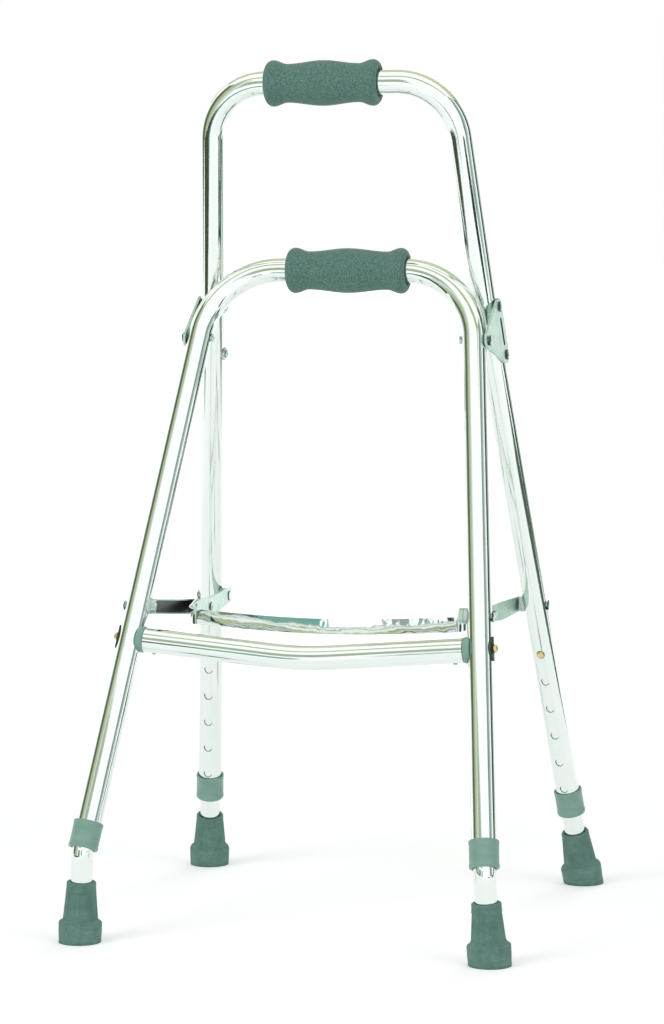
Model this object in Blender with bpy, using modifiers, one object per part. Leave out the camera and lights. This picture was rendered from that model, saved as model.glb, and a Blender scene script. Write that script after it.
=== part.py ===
"""Hemi walker: a one-handed walking aid that stands on four splayed legs.

A short front frame and a tall rear frame, each a bent tube with a foam grip, are hinged together
near the top. Two folding linkages join their legs lower down: a channel link on each front leg, a
lever on each rear leg, and a flat strip, the bail, across both levers. Standing open, each link and
lever lie almost in line, a little past centre, and lock the frames. Lifting the bail folds them.
Every leg has an extension tube with a sprung button and a rubber tip.

Metres, +Z up, +X to the right, the short front frame towards -Y. The rubber tips stand on z = 0.
"""

import math
from dataclasses import dataclass

import bmesh
import bpy
from mathutils import Matrix, Vector

# Tubes and clearances
TUBE_RADIUS = 0.0111
TUBE_WALL = 0.0011
EXTENSION_RADIUS = 0.0095
EXTENSION_WALL = 0.0012
FIT = 0.0003
BORE_PLAY = 0.0004

# Tall rear frame, right-hand leg; angles in degrees from the vertical
REAR_FOOT_X = 0.1887
REAR_FOOT_Y = 0.2191
REAR_LEAN = 16.79
REAR_SPLAY = 6.12
REAR_SET_HEIGHT = 0.525
REAR_UPPER_LEAN = 15.03
REAR_UPPER_SPLAY = 4.99
REAR_HEIGHT = 0.7594
REAR_BEND = 0.055

# Short front frame, right-hand leg
FRONT_FOOT_WIDER = 0.00335
FRONT_FOOT_X = REAR_FOOT_X + FRONT_FOOT_WIDER
FRONT_FOOT_Y = -0.20377
FRONT_LEAN = 22.06
FRONT_SPLAY = 6.78
FRONT_HEIGHT = 0.5904
FRONT_BEND = 0.070
SET_RADIUS = 0.150

# The front extensions turn nearly upright below their collars
FOOT_TURN_HEIGHT = 0.082
FOOT_TURN_RADIUS = 0.035
FOOT_LEAN = 2.45
FOOT_SPLAY = 2.93

# Foam grips
REAR_GRIP_LENGTH = 0.105
REAR_GRIP_SHIFT = -0.0072
FRONT_GRIP_LENGTH = 0.112
FRONT_GRIP_SHIFT = 0.0054
GRIP_END_RADIUS = 0.0208
GRIP_WAIST_RADIUS = 0.0174
GRIP_PALM_RADIUS = 0.0204
GRIP_END_ROUND = 0.006
GRIP_WAIST_FROM_END = 0.019
GRIP_PLAY = 0.0008

# Hinge between the frames
PIVOT_HEIGHT = 0.5289
PLATE_RIVET_ABOVE = 0.0281
PLATE_RIVET_BELOW = 0.0159
PLATE_RIVET_TOP = PIVOT_HEIGHT + PLATE_RIVET_ABOVE
PLATE_RIVET_LOW = PIVOT_HEIGHT - PLATE_RIVET_BELOW
PLATE_CORNER = 0.008
PLATE_THICKNESS = 0.0024
SLOT_LENGTH = 0.027
SLOT_WIDTH = 0.0024
PLATE_TURN = 3.3

# Fasteners
BOLT_RADIUS = 0.0025
BOLT_HEAD_RADIUS = 0.0047
BOLT_HEAD_HEIGHT = 0.0026
RIVET_FOOT_RADIUS = 0.0040
RIVET_FOOT_HEIGHT = 0.0014
RIVET_WASHER_RADIUS = 0.0060
RIVET_WASHER_THICKNESS = 0.0013
SPACER_RADIUS = 0.0070

# Crossbar
CROSSBAR_HEIGHT = 0.2635
CROSSBAR_DROP = 0.0130
CROSSBAR_BEND = 0.300
CROSSBAR_SETBACK = 0.0144
CAP_RADIUS = 0.0117
CAP_SADDLE_DEPTH = 0.0080
CAP_PLUG_LENGTH = 0.0150
SADDLE_WASHER_RADIUS = 0.0070
SADDLE_WASHER_LENGTH = 0.0220
SADDLE_WASHER_THICKNESS = 0.0012
CROSSBAR_BOLT_HEAD_RADIUS = 0.0037
CROSSBAR_BOLT_HEAD_HEIGHT = 0.0034
CAP_SCREW_FROM_END = 0.0085
CAP_SCREW_RADIUS = 0.0014
CAP_SCREW_HEAD_RADIUS = 0.0023
CAP_SCREW_HEAD_HEIGHT = 0.0012
CAP_SCREW_LENGTH = 0.0055
CAP_POCKET_PLAY = 0.0010

# Folding linkage
LINK_ABOVE_CROSSBAR = 0.0278
LINK_HEIGHT = CROSSBAR_HEIGHT + LINK_ABOVE_CROSSBAR
LEVER_BELOW_LINK = 0.0139
LEVER_HEIGHT = LINK_HEIGHT - LEVER_BELOW_LINK
LEVER_LENGTH = 0.081
PAST_CENTRE = 0.0064
LINK_STANDOFF = 0.0025
LINK_WALL = 0.0012
LINK_HALF_HEIGHT = 0.0069
LINK_DEPTH = 0.0042
LINK_FLANGE_WALL = 0.0013
LINK_OPEN_LENGTH = 0.032
LEVER_STANDOFF = 0.0049
LEVER_TILT = 5.14
LEVER_THICKNESS = 0.0018
LEVER_TAIL = 0.012
LEVER_END_HEIGHT = 0.0070
LEVER_END_CORNER = 0.0060
LEVER_TOP = 0.0083
LEVER_BELLY = 0.0088
LEVER_BELLY_FROM_PIVOT = 0.050
LEVER_KNEE_BELOW = 0.0066
LEVER_SHOULDER_FROM_PIVOT = 0.120
LEVER_SHOULDER = 0.0126
LEVER_NOSE_FROM_PIVOT = 0.161
LEVER_NOSE_RISE = 0.0103
LEVER_NOSE_CORNER = 0.0008
LEVER_EDGE_CURVE = 0.040
KNEE_GAP = 0.0014
KNEE_HEAD_RADIUS = 0.0042
KNEE_HEAD_HEIGHT = 0.0010

# Bail strip
BAIL_HEIGHT = 0.014
BAIL_THICKNESS = 0.0016
BAIL_TAIL_FROM_PIVOT = 0.1245
BAIL_TAIL_RISE = 0.0072
BAIL_CORNER_FROM_PIVOT = 0.1635
BAIL_CORNER_RISE = 0.0019
BAIL_CORNER = 0.010
BAIL_SAG = 0.0071
BAIL_BOW = 0.0070
BAIL_BOW_RADIUS = 1.0
BAIL_RIVET_FROM_PIVOT = 0.141
BAIL_RIVET_RISE = 0.0088
BAIL_RIVET_RADIUS = 0.0010
BAIL_RIVET_HEAD_RADIUS = 0.0019
BAIL_RIVET_HEAD_HEIGHT = 0.0008

# Height adjustment
BUTTON_BELOW_LEVER = 0.0444
REAR_BUTTON_HEIGHT = LEVER_HEIGHT - BUTTON_BELOW_LEVER
BUTTON_BELOW_CROSSBAR = 0.0235
FRONT_BUTTON_HEIGHT = CROSSBAR_HEIGHT - BUTTON_BELOW_CROSSBAR
HOLE_PITCH = 0.028
HOLES_BELOW = 5
BUTTON_RADIUS = 0.0036
BUTTON_PROUD = 0.0024
BUTTON_TURN = 5.0
LEAF_THICKNESS = 0.0008
LEAF_WIDTH = 0.0070
LEAF_REACH = 0.0062
LEAF_LENGTH = 0.026
LEAF_BEND = 0.0018
EXTENSION_ABOVE_BUTTON = 0.016

# Collars
REAR_COLLAR_HEIGHT = 0.0715
FRONT_COLLAR_HEIGHT = 0.0840
COLLAR_RADIUS = 0.0134
COLLAR_LENGTH = 0.0245
COLLAR_LIP = 0.0035
COLLAR_CHAMFER = 0.0010
LIP_PLAY = 0.0008

# Rubber tips
TIP_HEIGHT = 0.0550
TIP_BASE_RADIUS = 0.0193
TIP_BASE_HEIGHT = 0.0190
TIP_NECK_RADIUS = 0.0157
TIP_RIM_RADIUS = 0.0131
TIP_SOLE = 0.0080
TIP_BASE_CHAMFER = 0.0012

# Facets
SIDES = 16
TURNED_STEPS = 18
FASTENER_STEPS = 10
HOLE_SIDES = 10
ARC_STEP = 13.0

MIRROR = Matrix.Scale(-1.0, 4, (1.0, 0.0, 0.0))
X_AXIS = Vector((1.0, 0.0, 0.0))


@dataclass(frozen=True)
class Line:
    """A straight centre line, met by its height above the floor."""

    point: Vector
    direction: Vector

    def at(self, height):
        """Return the point on the line at a height."""
        return self.point + self.direction * ((height - self.point.z) / self.direction.z)

    def along(self, point, distance):
        """Return the point that lies a distance up the line from another point on it."""
        return point + self.direction * distance


def upright(point, lean_back, splay):
    """Return the line through a point that leans to -Y and to -X by angles in degrees as it rises."""
    slope = Vector((-math.tan(math.radians(splay)), -math.tan(math.radians(lean_back)), 1.0))
    return Line(Vector(point), slope.normalized())


def floor_reach(line):
    """Return how far a tip's sole, cut off level at the floor, reaches along Y from its centre line."""
    return TIP_BASE_RADIUS * math.sqrt(1.0 - line.direction.x**2) / line.direction.z


def foot_line(leg):
    """Return the line that a front leg follows below the bend near its foot."""
    return upright(leg.at(FOOT_TURN_HEIGHT), FOOT_LEAN, FOOT_SPLAY)


def middle_of_feet():
    """Return the Y that lies midway between the outermost edges of the front and rear tips."""
    rear = upright((REAR_FOOT_X, REAR_FOOT_Y, 0.0), REAR_LEAN, REAR_SPLAY)
    front = foot_line(upright((FRONT_FOOT_X, FRONT_FOOT_Y, 0.0), -FRONT_LEAN, FRONT_SPLAY))
    back = rear.at(0.0).y + floor_reach(rear)
    return (back + front.at(0.0).y - floor_reach(front)) / 2


CENTRE_Y = middle_of_feet()
REAR_LEG = upright((REAR_FOOT_X, REAR_FOOT_Y - CENTRE_Y, 0.0), REAR_LEAN, REAR_SPLAY)
REAR_TOP = upright(REAR_LEG.at(REAR_SET_HEIGHT), REAR_UPPER_LEAN, REAR_UPPER_SPLAY)
FRONT_LEG = upright((FRONT_FOOT_X, FRONT_FOOT_Y - CENTRE_Y, 0.0), -FRONT_LEAN, FRONT_SPLAY)
FRONT_FOOT = foot_line(FRONT_LEG)

PIVOT = FRONT_LEG.at(PIVOT_HEIGHT)
LINK_END = FRONT_LEG.at(LINK_HEIGHT)
LEVER_END = REAR_LEG.at(LEVER_HEIGHT)


def knee_point():
    """Return where link and lever meet, below the line between their outer ends, with x left at 0."""
    span = Vector((0.0, LEVER_END.y - LINK_END.y, LEVER_END.z - LINK_END.z)).normalized()
    down = Vector((0.0, span.z, -span.y))
    back = math.sqrt(LEVER_LENGTH**2 - PAST_CENTRE**2)
    return Vector((0.0, LEVER_END.y, LEVER_END.z)) - span * back + down * PAST_CENTRE


KNEE = knee_point()


def clear_scene():
    """Remove every object of the start-up scene."""
    for obj in list(bpy.data.objects):
        bpy.data.objects.remove(obj, do_unlink=True)


def new_collection(name):
    """Return a collection in the scene."""
    made = bpy.data.collections.new(name)
    bpy.context.scene.collection.children.link(made)
    return made


def finish(name, color, metallic, roughness):
    """Return a Principled material."""
    made = bpy.data.materials.new(name)
    made.use_nodes = True
    shader = made.node_tree.nodes["Principled BSDF"]
    shader.inputs["Base Color"].default_value = (*color, 1.0)
    shader.inputs["Metallic"].default_value = metallic
    shader.inputs["Roughness"].default_value = roughness
    made.diffuse_color = (*color, 1.0)
    return made


clear_scene()
PARTS = new_collection("hemi_walker")
CUTTERS = new_collection("cutters")

ALUMINIUM = finish("bright_aluminium", (0.82, 0.84, 0.83), 1.0, 0.22)
PLATE_METAL = finish("pale_plate", (0.62, 0.74, 0.68), 1.0, 0.38)
STRIP_METAL = finish("polished_strip", (0.75, 0.77, 0.76), 1.0, 0.12)
ZINC = finish("zinc", (0.62, 0.64, 0.64), 1.0, 0.35)
BRASS = finish("brass", (0.72, 0.58, 0.28), 1.0, 0.30)
DARK_METAL = finish("dark_metal", (0.05, 0.05, 0.05), 0.8, 0.45)
GREY_PLASTIC = finish("grey_plastic", (0.20, 0.35, 0.30), 0.0, 0.45)
PALE_PLASTIC = finish("pale_plastic", (0.60, 0.72, 0.66), 0.0, 0.45)
FOAM = finish("foam", (0.11, 0.22, 0.18), 0.0, 0.90)
RUBBER = finish("rubber", (0.12, 0.23, 0.19), 0.0, 0.75)


def axes(name, point):
    """Return an empty that carries the pieces of one moving body, standing on its joint."""
    empty = bpy.data.objects.new(name, None)
    empty.empty_display_size = 0.02
    empty.location = point
    PARTS.objects.link(empty)
    return empty


def carry(holder, *pieces):
    """Parent pieces to a holder and leave them where they stand."""
    bpy.context.view_layer.update()
    for piece in pieces:
        piece.parent = holder
        piece.matrix_parent_inverse = holder.matrix_world.inverted()


def add_object(name, data, material=None):
    """Link a new object, among the parts if it has a material, or else among the cutters."""
    obj = bpy.data.objects.new(name, data)
    if material:
        PARTS.objects.link(obj)
        data.materials.append(material)
    else:
        CUTTERS.objects.link(obj)
        obj.hide_render = True
        obj.display_type = "WIRE"
    return obj


def add_mesh(name, bm, material=None):
    """Make an object from a bmesh."""
    mesh = bpy.data.meshes.new(name)
    bm.to_mesh(mesh)
    bm.free()
    obj = add_object(name, mesh, material)
    soften(mesh)
    return obj


def soften(mesh, angle=35.0):
    """Shade a mesh smooth, with its real edges kept sharp."""
    mesh.shade_smooth()
    mesh.set_sharp_from_angle(angle=math.radians(angle))


def evaluated_mesh(obj):
    """Return a copy of an object's mesh with its modifiers applied."""
    bpy.context.view_layer.update()
    graph = bpy.context.evaluated_depsgraph_get()
    return bpy.data.meshes.new_from_object(obj.evaluated_get(graph), depsgraph=graph)


def curve_to_mesh(curve_object, name, material):
    """Replace a curve by a mesh object with welded caps, in the same place."""
    mesh = evaluated_mesh(curve_object)
    bm = bmesh.new()
    bm.from_mesh(mesh)
    bmesh.ops.remove_doubles(bm, verts=bm.verts, dist=0.00001)
    bm.to_mesh(mesh)
    bm.free()
    mesh.materials.clear()
    placing = curve_object.matrix_world.copy()
    bpy.data.objects.remove(curve_object, do_unlink=True)
    obj = add_object(name, mesh, material)
    obj.matrix_world = placing
    soften(mesh)
    return obj


def rounded(corners, radii, closed=False):
    """Return a polyline with each corner turned into an arc.

    Args:
        corners: the points where straight runs meet.
        radii: the arc radius at each corner; the ends of an open line are left as they are.
        closed: whether the last corner joins the first.
    """
    count = len(corners)
    line = []
    for number, corner in enumerate(corners):
        if not closed and number in (0, count - 1):
            line.append(Vector(corner))
            continue
        corner = Vector(corner)
        back = (Vector(corners[number - 1]) - corner).normalized()
        ahead = (Vector(corners[(number + 1) % count]) - corner).normalized()
        turn = math.pi - back.angle(ahead)
        radius = radii[number]
        if turn < 0.001 or radius <= 0.0:
            line.append(corner)
            continue
        reach = radius * math.tan(turn / 2)
        centre = corner + (back + ahead).normalized() * (radius / math.cos(turn / 2))
        start = corner + back * reach - centre
        side = (corner + ahead * reach - centre - start * math.cos(turn)) / math.sin(turn)
        steps = max(2, math.ceil(math.degrees(turn) / ARC_STEP))
        for step in range(steps + 1):
            angle = turn * step / steps
            line.append(centre + start * math.cos(angle) + side * math.sin(angle))
    return line


def poly_curve(name, lines, dimensions, closed):
    """Return a curve object with a straight-sided spline for each list of points."""
    data = bpy.data.curves.new(name, "CURVE")
    data.dimensions = dimensions
    for points in lines:
        spline = data.splines.new("POLY")
        spline.points.add(len(points) - 1)
        for slot, point in zip(spline.points, points):
            slot.co = (*Vector(point).to_3d(), 1.0)
        spline.use_cyclic_u = closed
    obj = bpy.data.objects.new(name, data)
    PARTS.objects.link(obj)
    return obj


def rod(name, points, radius, material=None, capped=True):
    """Return a round rod along a line of points."""
    obj = poly_curve(name, [points], "3D", False)
    obj.data.bevel_depth = radius
    obj.data.bevel_resolution = (SIDES - 4) // 2
    obj.data.use_fill_caps = capped
    return curve_to_mesh(obj, name, material)


def tube(name, points, radius, wall, material):
    """Return a round tube, open at both ends, along a line of points."""
    obj = rod(name, points, radius, material, capped=False)
    shell = obj.modifiers.new("wall", "SOLIDIFY")
    shell.thickness = wall
    shell.offset = -1.0
    shell.use_even_offset = True
    return obj


def flat(name, outlines, thickness, material=None):
    """Return a flat plate in its own XY plane from an outline and any holes, centred in its thickness."""
    obj = poly_curve(name, outlines, "2D", True)
    obj.data.fill_mode = "BOTH"
    obj.data.extrude = thickness / 2
    return curve_to_mesh(obj, name, material)


def ribbon(name, points, across, width, thickness, material):
    """Return a flat strip that follows a line of points.

    Args:
        name: the object's name.
        points: the strip's centre line.
        across: the direction that the strip's width lies nearest to.
        width: the strip's width.
        thickness: its gauge, centred on the line.
        material: its material.
    """
    bm = bmesh.new()
    pairs = []
    for number, point in enumerate(points):
        run = (points[min(number + 1, len(points) - 1)] - points[max(number - 1, 0)]).normalized()
        side = (across - run * across.dot(run)).normalized() * (width / 2)
        pairs.append((bm.verts.new(point - side), bm.verts.new(point + side)))
    for (low, high), (next_low, next_high) in zip(pairs, pairs[1:]):
        bm.faces.new((low, next_low, next_high, high))
    strip = add_mesh(name, bm, material)
    shell = strip.modifiers.new("gauge", "SOLIDIFY")
    shell.thickness = thickness
    shell.offset = 0.0
    shell.use_even_offset = True
    return strip


def turned(name, profile, material=None, steps=TURNED_STEPS, ring=False):
    """Return a piece turned about its own Z axis.

    Args:
        name: the object's name.
        profile: (radius, height) points down the outer side, from axis to axis, or round a ring.
        material: its material, or None for a cutter.
        steps: the number of flat sides.
        ring: whether the profile closes on itself and leaves a bore.
    """
    bm = bmesh.new()
    points = [bm.verts.new((radius, 0.0, height)) for radius, height in profile]
    for first, second in zip(points, points[1:]):
        bm.edges.new((first, second))
    if ring:
        bm.edges.new((points[-1], points[0]))
    obj = add_mesh(name, bm, material)
    spin = obj.modifiers.new("turn", "SCREW")
    spin.steps = steps
    spin.render_steps = steps
    spin.use_merge_vertices = True
    spin.merge_threshold = 0.00001
    spin.use_smooth_shade = False
    return obj


def aim(obj, point, direction):
    """Stand an object at a point with its Z axis along a direction."""
    turn = Vector(direction).to_track_quat("Z", "Y").to_matrix().to_4x4()
    obj.matrix_world = Matrix.Translation(point) @ turn
    return obj


def frame_of(origin, x_axis, y_axis):
    """Return the placing matrix with these two axes, which are square to each other."""
    z_axis = x_axis.cross(y_axis)
    turn = Matrix((x_axis, y_axis, z_axis)).transposed().to_4x4()
    return Matrix.Translation(origin) @ turn


def drill_bit(radius, start, end):
    """Return a cylindrical cutter from one point to another."""
    bm = bmesh.new()
    sizes = {"radius1": radius, "radius2": radius, "depth": (end - start).length}
    bmesh.ops.create_cone(bm, cap_ends=True, segments=HOLE_SIDES, **sizes)
    return aim(add_mesh("drill", bm), (start + end) / 2, end - start)


def gather(name, pieces):
    """Join cutters into one that stands at the origin."""
    bm = bmesh.new()
    for piece in pieces:
        mesh = evaluated_mesh(piece)
        mesh.transform(piece.matrix_world)
        bm.from_mesh(mesh)
        bpy.data.meshes.remove(mesh)
        bpy.data.objects.remove(piece, do_unlink=True)
    return add_mesh(name, bm)


def both_sides(obj):
    """Mirror a cutter that stands at the origin, so that it cuts the left-hand side too."""
    mirror = obj.modifiers.new("left_side", "MIRROR")
    mirror.use_mirror_merge = False
    return obj


def left_twin(piece):
    """Return the left-hand copy of a right-hand piece."""
    name = piece.name.replace("_right", "_left")
    mesh = evaluated_mesh(piece)
    mesh.transform(MIRROR)
    mesh.flip_normals()
    twin = bpy.data.objects.new(name, mesh)
    PARTS.objects.link(twin)
    twin.matrix_world = MIRROR @ piece.matrix_world @ MIRROR
    return twin


def cut(piece, cutter, joined=False):
    """Cut one object out of another, or join it on."""
    step = piece.modifiers.new(cutter.name, "BOOLEAN")
    step.operation = "UNION" if joined else "DIFFERENCE"
    step.solver = "EXACT"
    step.object = cutter
    return piece


def circle(centre, radius, sides=HOLE_SIDES + 2):
    """Return points round a circle in the XY plane."""
    steps = (math.tau * number / sides for number in range(sides))
    return [(centre[0] + radius * math.cos(a), centre[1] + radius * math.sin(a)) for a in steps]


def long_hole(centre, direction, length, width):
    """Return points round a slot with round ends in the XY plane."""
    along = Vector(direction).normalized()
    across = Vector((-along.y, along.x))
    points = []
    for sign in (1, -1):
        for step in range(7):
            angle = math.pi * step / 6 - math.pi / 2
            reach = along * math.cos(angle) + across * math.sin(angle)
            points.append(Vector(centre) + sign * (along * (length - width) / 2 + reach * width / 2))
    return points


def fastener(name, head, shank_radius, shank_length, foot, material):
    """Return a rivet, bolt or screw whose head sits on its own XY plane, the shank below it.

    Args:
        name: the object's name.
        head: radius and height of the domed head.
        shank_radius: radius of the shank.
        shank_length: length from under the head to the foot.
        foot: radius and height of the flat far head.
        material: its material.
    """
    radius, height = head
    foot_radius, foot_height = foot
    end = -shank_length - foot_height
    profile = [
        (0.0, height),
        (radius * 0.55, height * 0.86),
        (radius * 0.90, height * 0.45),
        (radius, 0.0),
        (shank_radius, 0.0),
        (shank_radius, -shank_length),
        (foot_radius, -shank_length),
        (foot_radius, end),
        (0.0, end),
    ]
    return turned(name, profile, material, FASTENER_STEPS)


def drill(lines, radius):
    """Return cylinders of one radius between pairs of points, for holes."""
    return [drill_bit(radius, start, end) for start, end in lines]


def frame_points(tube_end, lines, height, set_height, bend):
    """Return the centre line of a frame, from the right foot over the top bar to the left foot."""
    lower, upper = lines
    right = [tube_end, lower.at(set_height), upper.at(height)]
    corners = right + [MIRROR @ point for point in reversed(right)]
    return rounded(corners, [0.0, SET_RADIUS, bend, bend, SET_RADIUS, 0.0])


def button_centre(leg, towards):
    """Return the point of a leg's centre line that its button stands on."""
    return leg.at(FRONT_BUTTON_HEIGHT if towards > 0 else REAR_BUTTON_HEIGHT)


def button_frame(leg, towards):
    """Return the origin, outward direction and cross direction of a leg's button.

    Args:
        leg: the leg's centre line.
        towards: +1 or -1, the way along Y that the button faces.
    """
    facing = Vector((0.0, towards, 0.0))
    facing = (facing - leg.direction * facing.dot(leg.direction)).normalized()
    inward = towards * math.radians(BUTTON_TURN)
    facing = Matrix.Rotation(inward, 3, leg.direction) @ facing
    return button_centre(leg, towards), facing


def adjustment_holes(leg, towards):
    """Return the ends of a leg's row of button holes, through the wall that the button faces."""
    origin, facing = button_frame(leg, towards)
    inner = EXTENSION_RADIUS - EXTENSION_WALL / 2
    lines = []
    for number in range(HOLES_BELOW + 1):
        centre = leg.along(origin, -HOLE_PITCH * number)
        lines.append((centre + facing * inner * 0.5, centre + facing * (TUBE_RADIUS + 0.004)))
    return lines


def through(centre, direction, reach):
    """Return the two ends of a hole that passes right through a tube."""
    return centre - direction * reach, centre + direction * reach


def plate_frame():
    """Return the placing matrix of the right hinge plate, flat against the outside of the rear leg."""
    low = REAR_LEG.at(PLATE_RIVET_LOW)
    top = REAR_TOP.at(PLATE_RIVET_TOP)
    run = top - low
    out = Vector((run.z, 0.0, -run.x)).normalized()
    out = Matrix.Rotation(-math.radians(PLATE_TURN), 3, run.normalized()) @ out
    back = (Vector((0.0, 1.0, 0.0)) - out * out.y).normalized()
    origin = low + out * (TUBE_RADIUS + FIT + PLATE_THICKNESS / 2)
    return frame_of(origin, back, out.cross(back))


def pivot_in_plate():
    """Return where the hinge axis, which runs along X, passes the middle of the right plate."""
    placing = plate_frame()
    out = placing.to_3x3() @ Vector((0.0, 0.0, 1.0))
    return PIVOT + X_AXIS * ((placing.translation - PIVOT).dot(out) / out.x)


def crossbar_axis():
    """Return where the right end of the crossbar's centre line meets the leg, and its lowest point."""
    outer = FRONT_LEG.at(CROSSBAR_HEIGHT)
    middle = FRONT_LEG.at(CROSSBAR_HEIGHT - CROSSBAR_DROP)
    return outer, Vector((0.0, middle.y, middle.z))


def make_rear_frame():
    """Make the tall frame's tube, drilled for its rivets, lever bolts and buttons."""
    foot = REAR_LEG.at(REAR_COLLAR_HEIGHT)
    end = REAR_LEG.along(foot, COLLAR_LIP + FIT)
    points = frame_points(end, (REAR_LEG, REAR_TOP), REAR_HEIGHT, REAR_SET_HEIGHT, REAR_BEND)
    body = tube("rear_frame_tube", points, TUBE_RADIUS, TUBE_WALL, ALUMINIUM)
    out = plate_frame().to_3x3() @ Vector((0.0, 0.0, 1.0))
    reach = TUBE_RADIUS + 0.004
    bolts = [
        through(REAR_LEG.at(PLATE_RIVET_LOW), out, reach),
        through(REAR_TOP.at(PLATE_RIVET_TOP), out, reach),
        through(LEVER_END, X_AXIS, reach),
    ]
    cutter = gather("rear_bolt_holes", drill(bolts, BOLT_RADIUS + BORE_PLAY))
    holes = gather("rear_button_holes", drill(adjustment_holes(REAR_LEG, -1), BUTTON_RADIUS + BORE_PLAY))
    cut(body, both_sides(cutter))
    cut(body, both_sides(holes))
    swept = rod("rear_frame_envelope", points, TUBE_RADIUS + FIT)
    return body, swept


def make_front_frame():
    """Make the short frame's tube, drilled for its pivot, crossbar and link bolts and buttons."""
    foot = FRONT_LEG.at(FRONT_COLLAR_HEIGHT)
    end = FRONT_LEG.along(foot, COLLAR_LIP + FIT)
    corners = [end, FRONT_LEG.at(FRONT_HEIGHT)]
    corners += [MIRROR @ point for point in reversed(corners)]
    points = rounded(corners, [0.0, FRONT_BEND, FRONT_BEND, 0.0])
    body = tube("front_frame_tube", points, TUBE_RADIUS, TUBE_WALL, ALUMINIUM)
    outer, middle = crossbar_axis()
    reach = TUBE_RADIUS + 0.004
    bolts = [
        through(PIVOT, X_AXIS, reach),
        through(LINK_END, X_AXIS, reach),
        through(outer, (outer - middle).normalized(), reach),
    ]
    cutter = gather("front_bolt_holes", drill(bolts, BOLT_RADIUS + BORE_PLAY))
    holes = gather("front_button_holes", drill(adjustment_holes(FRONT_LEG, 1), BUTTON_RADIUS + BORE_PLAY))
    cut(body, both_sides(cutter))
    cut(body, both_sides(holes))
    swept = rod("front_frame_envelope", points, TUBE_RADIUS + FIT)
    return body, swept


def grip_radius(from_end, length):
    """Return a grip's radius at a distance from its nearer end."""
    if from_end < GRIP_END_ROUND:
        part = 1.0 - from_end / GRIP_END_ROUND
        return GRIP_END_RADIUS - GRIP_END_ROUND * (1.0 - math.sqrt(1.0 - part**2))
    if from_end < GRIP_WAIST_FROM_END:
        part = (from_end - GRIP_END_ROUND) / (GRIP_WAIST_FROM_END - GRIP_END_ROUND)
        near, far = GRIP_END_RADIUS, GRIP_WAIST_RADIUS
    else:
        part = (from_end - GRIP_WAIST_FROM_END) / (length / 2 - GRIP_WAIST_FROM_END)
        near, far = GRIP_WAIST_RADIUS, GRIP_PALM_RADIUS
    return near + (far - near) * (1 - math.cos(math.pi * part)) / 2


def make_grip(name, length, shift, bar):
    """Make a foam grip, turned with a flared lip at each end and a fuller palm."""
    stations = [0.0, GRIP_END_ROUND * 0.3, GRIP_END_ROUND]
    flare = GRIP_WAIST_FROM_END - GRIP_END_ROUND
    stations += [GRIP_END_ROUND + flare * part for part in (0.35, 0.7, 1.0)]
    palm = length / 2 - GRIP_WAIST_FROM_END
    stations += [GRIP_WAIST_FROM_END + palm * part for part in (0.25, 0.5, 0.75, 1.0)]
    half = [(grip_radius(from_end, length), length / 2 - from_end) for from_end in stations]
    outer = half + [(radius, -height) for radius, height in reversed(half[:-1])]
    bore = TUBE_RADIUS + GRIP_PLAY
    profile = [(bore, length / 2)] + outer + [(bore, -length / 2)]
    grip = turned(name, profile, FOAM, ring=True)
    return aim(grip, Vector((shift, bar.y, bar.z)), X_AXIS)


def make_hinge():
    """Make the right hinge plate with its slot and its holes for the rivets and the frame pivot."""
    placing = plate_frame()
    into = placing.inverted()
    spots = [REAR_LEG.at(PLATE_RIVET_LOW), REAR_TOP.at(PLATE_RIVET_TOP), pivot_in_plate()]
    spots = [into @ spot for spot in spots]
    low, top, pivot = [Vector((spot.x, spot.y)) for spot in spots]
    outline = rounded(grow((low, top, pivot), PLATE_CORNER), [PLATE_CORNER] * 3, closed=True)
    hole = BOLT_RADIUS + BORE_PLAY
    slot = long_hole((low + top) / 2, top - low, SLOT_LENGTH, SLOT_WIDTH)
    loops = [outline, circle(low, hole), circle(top, hole), circle(pivot, hole + FIT), slot]
    plate = flat("hinge_plate_right", loops, PLATE_THICKNESS, PLATE_METAL)
    plate.matrix_world = placing
    return plate


def grow(corners, distance):
    """Return a triangle's corners moved out so that each side moves by a distance."""
    moved = []
    count = len(corners)
    for number, corner in enumerate(corners):
        back = (corner - corners[number - 1]).normalized()
        ahead = (corners[(number + 1) % count] - corner).normalized()
        half = (math.pi - back.angle(ahead)) / 2
        moved.append(corner + (back - ahead).normalized() * (distance / math.sin(half)))
    return moved


def make_plate_fasteners(envelope):
    """Make the rivets that hold the right hinge plate, and the curved washers inside the leg."""
    out = plate_frame().to_3x3() @ Vector((0.0, 0.0, 1.0))
    pieces = []
    near = TUBE_RADIUS + FIT
    seat = near + PLATE_THICKNESS + FIT
    far = near + RIVET_WASHER_THICKNESS + FIT
    for level, centre in (("low", REAR_LEG.at(PLATE_RIVET_LOW)), ("top", REAR_TOP.at(PLATE_RIVET_TOP))):
        rivet = fastener(
            f"plate_rivet_{level}_right",
            (BOLT_HEAD_RADIUS, BOLT_HEAD_HEIGHT),
            BOLT_RADIUS,
            seat + far,
            (RIVET_FOOT_RADIUS, RIVET_FOOT_HEIGHT),
            ZINC,
        )
        pieces.append(aim(rivet, centre + out * seat, out))
        name = f"rivet_washer_{level}_right"
        washer = ring_disc(name, RIVET_WASHER_RADIUS, near - 0.0035, near + RIVET_WASHER_THICKNESS, ZINC)
        pieces.append(cut(aim(washer, centre, -out), envelope))
    return pieces


def ring_disc(name, radius, start, end, material):
    """Return a washer or spacer between two heights on its axis, bored for a bolt."""
    bore = BOLT_RADIUS + BORE_PLAY
    profile = [(bore, end), (radius, end), (radius, start), (bore, start)]
    return turned(name, profile, material, FASTENER_STEPS + 4, ring=True)


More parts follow.
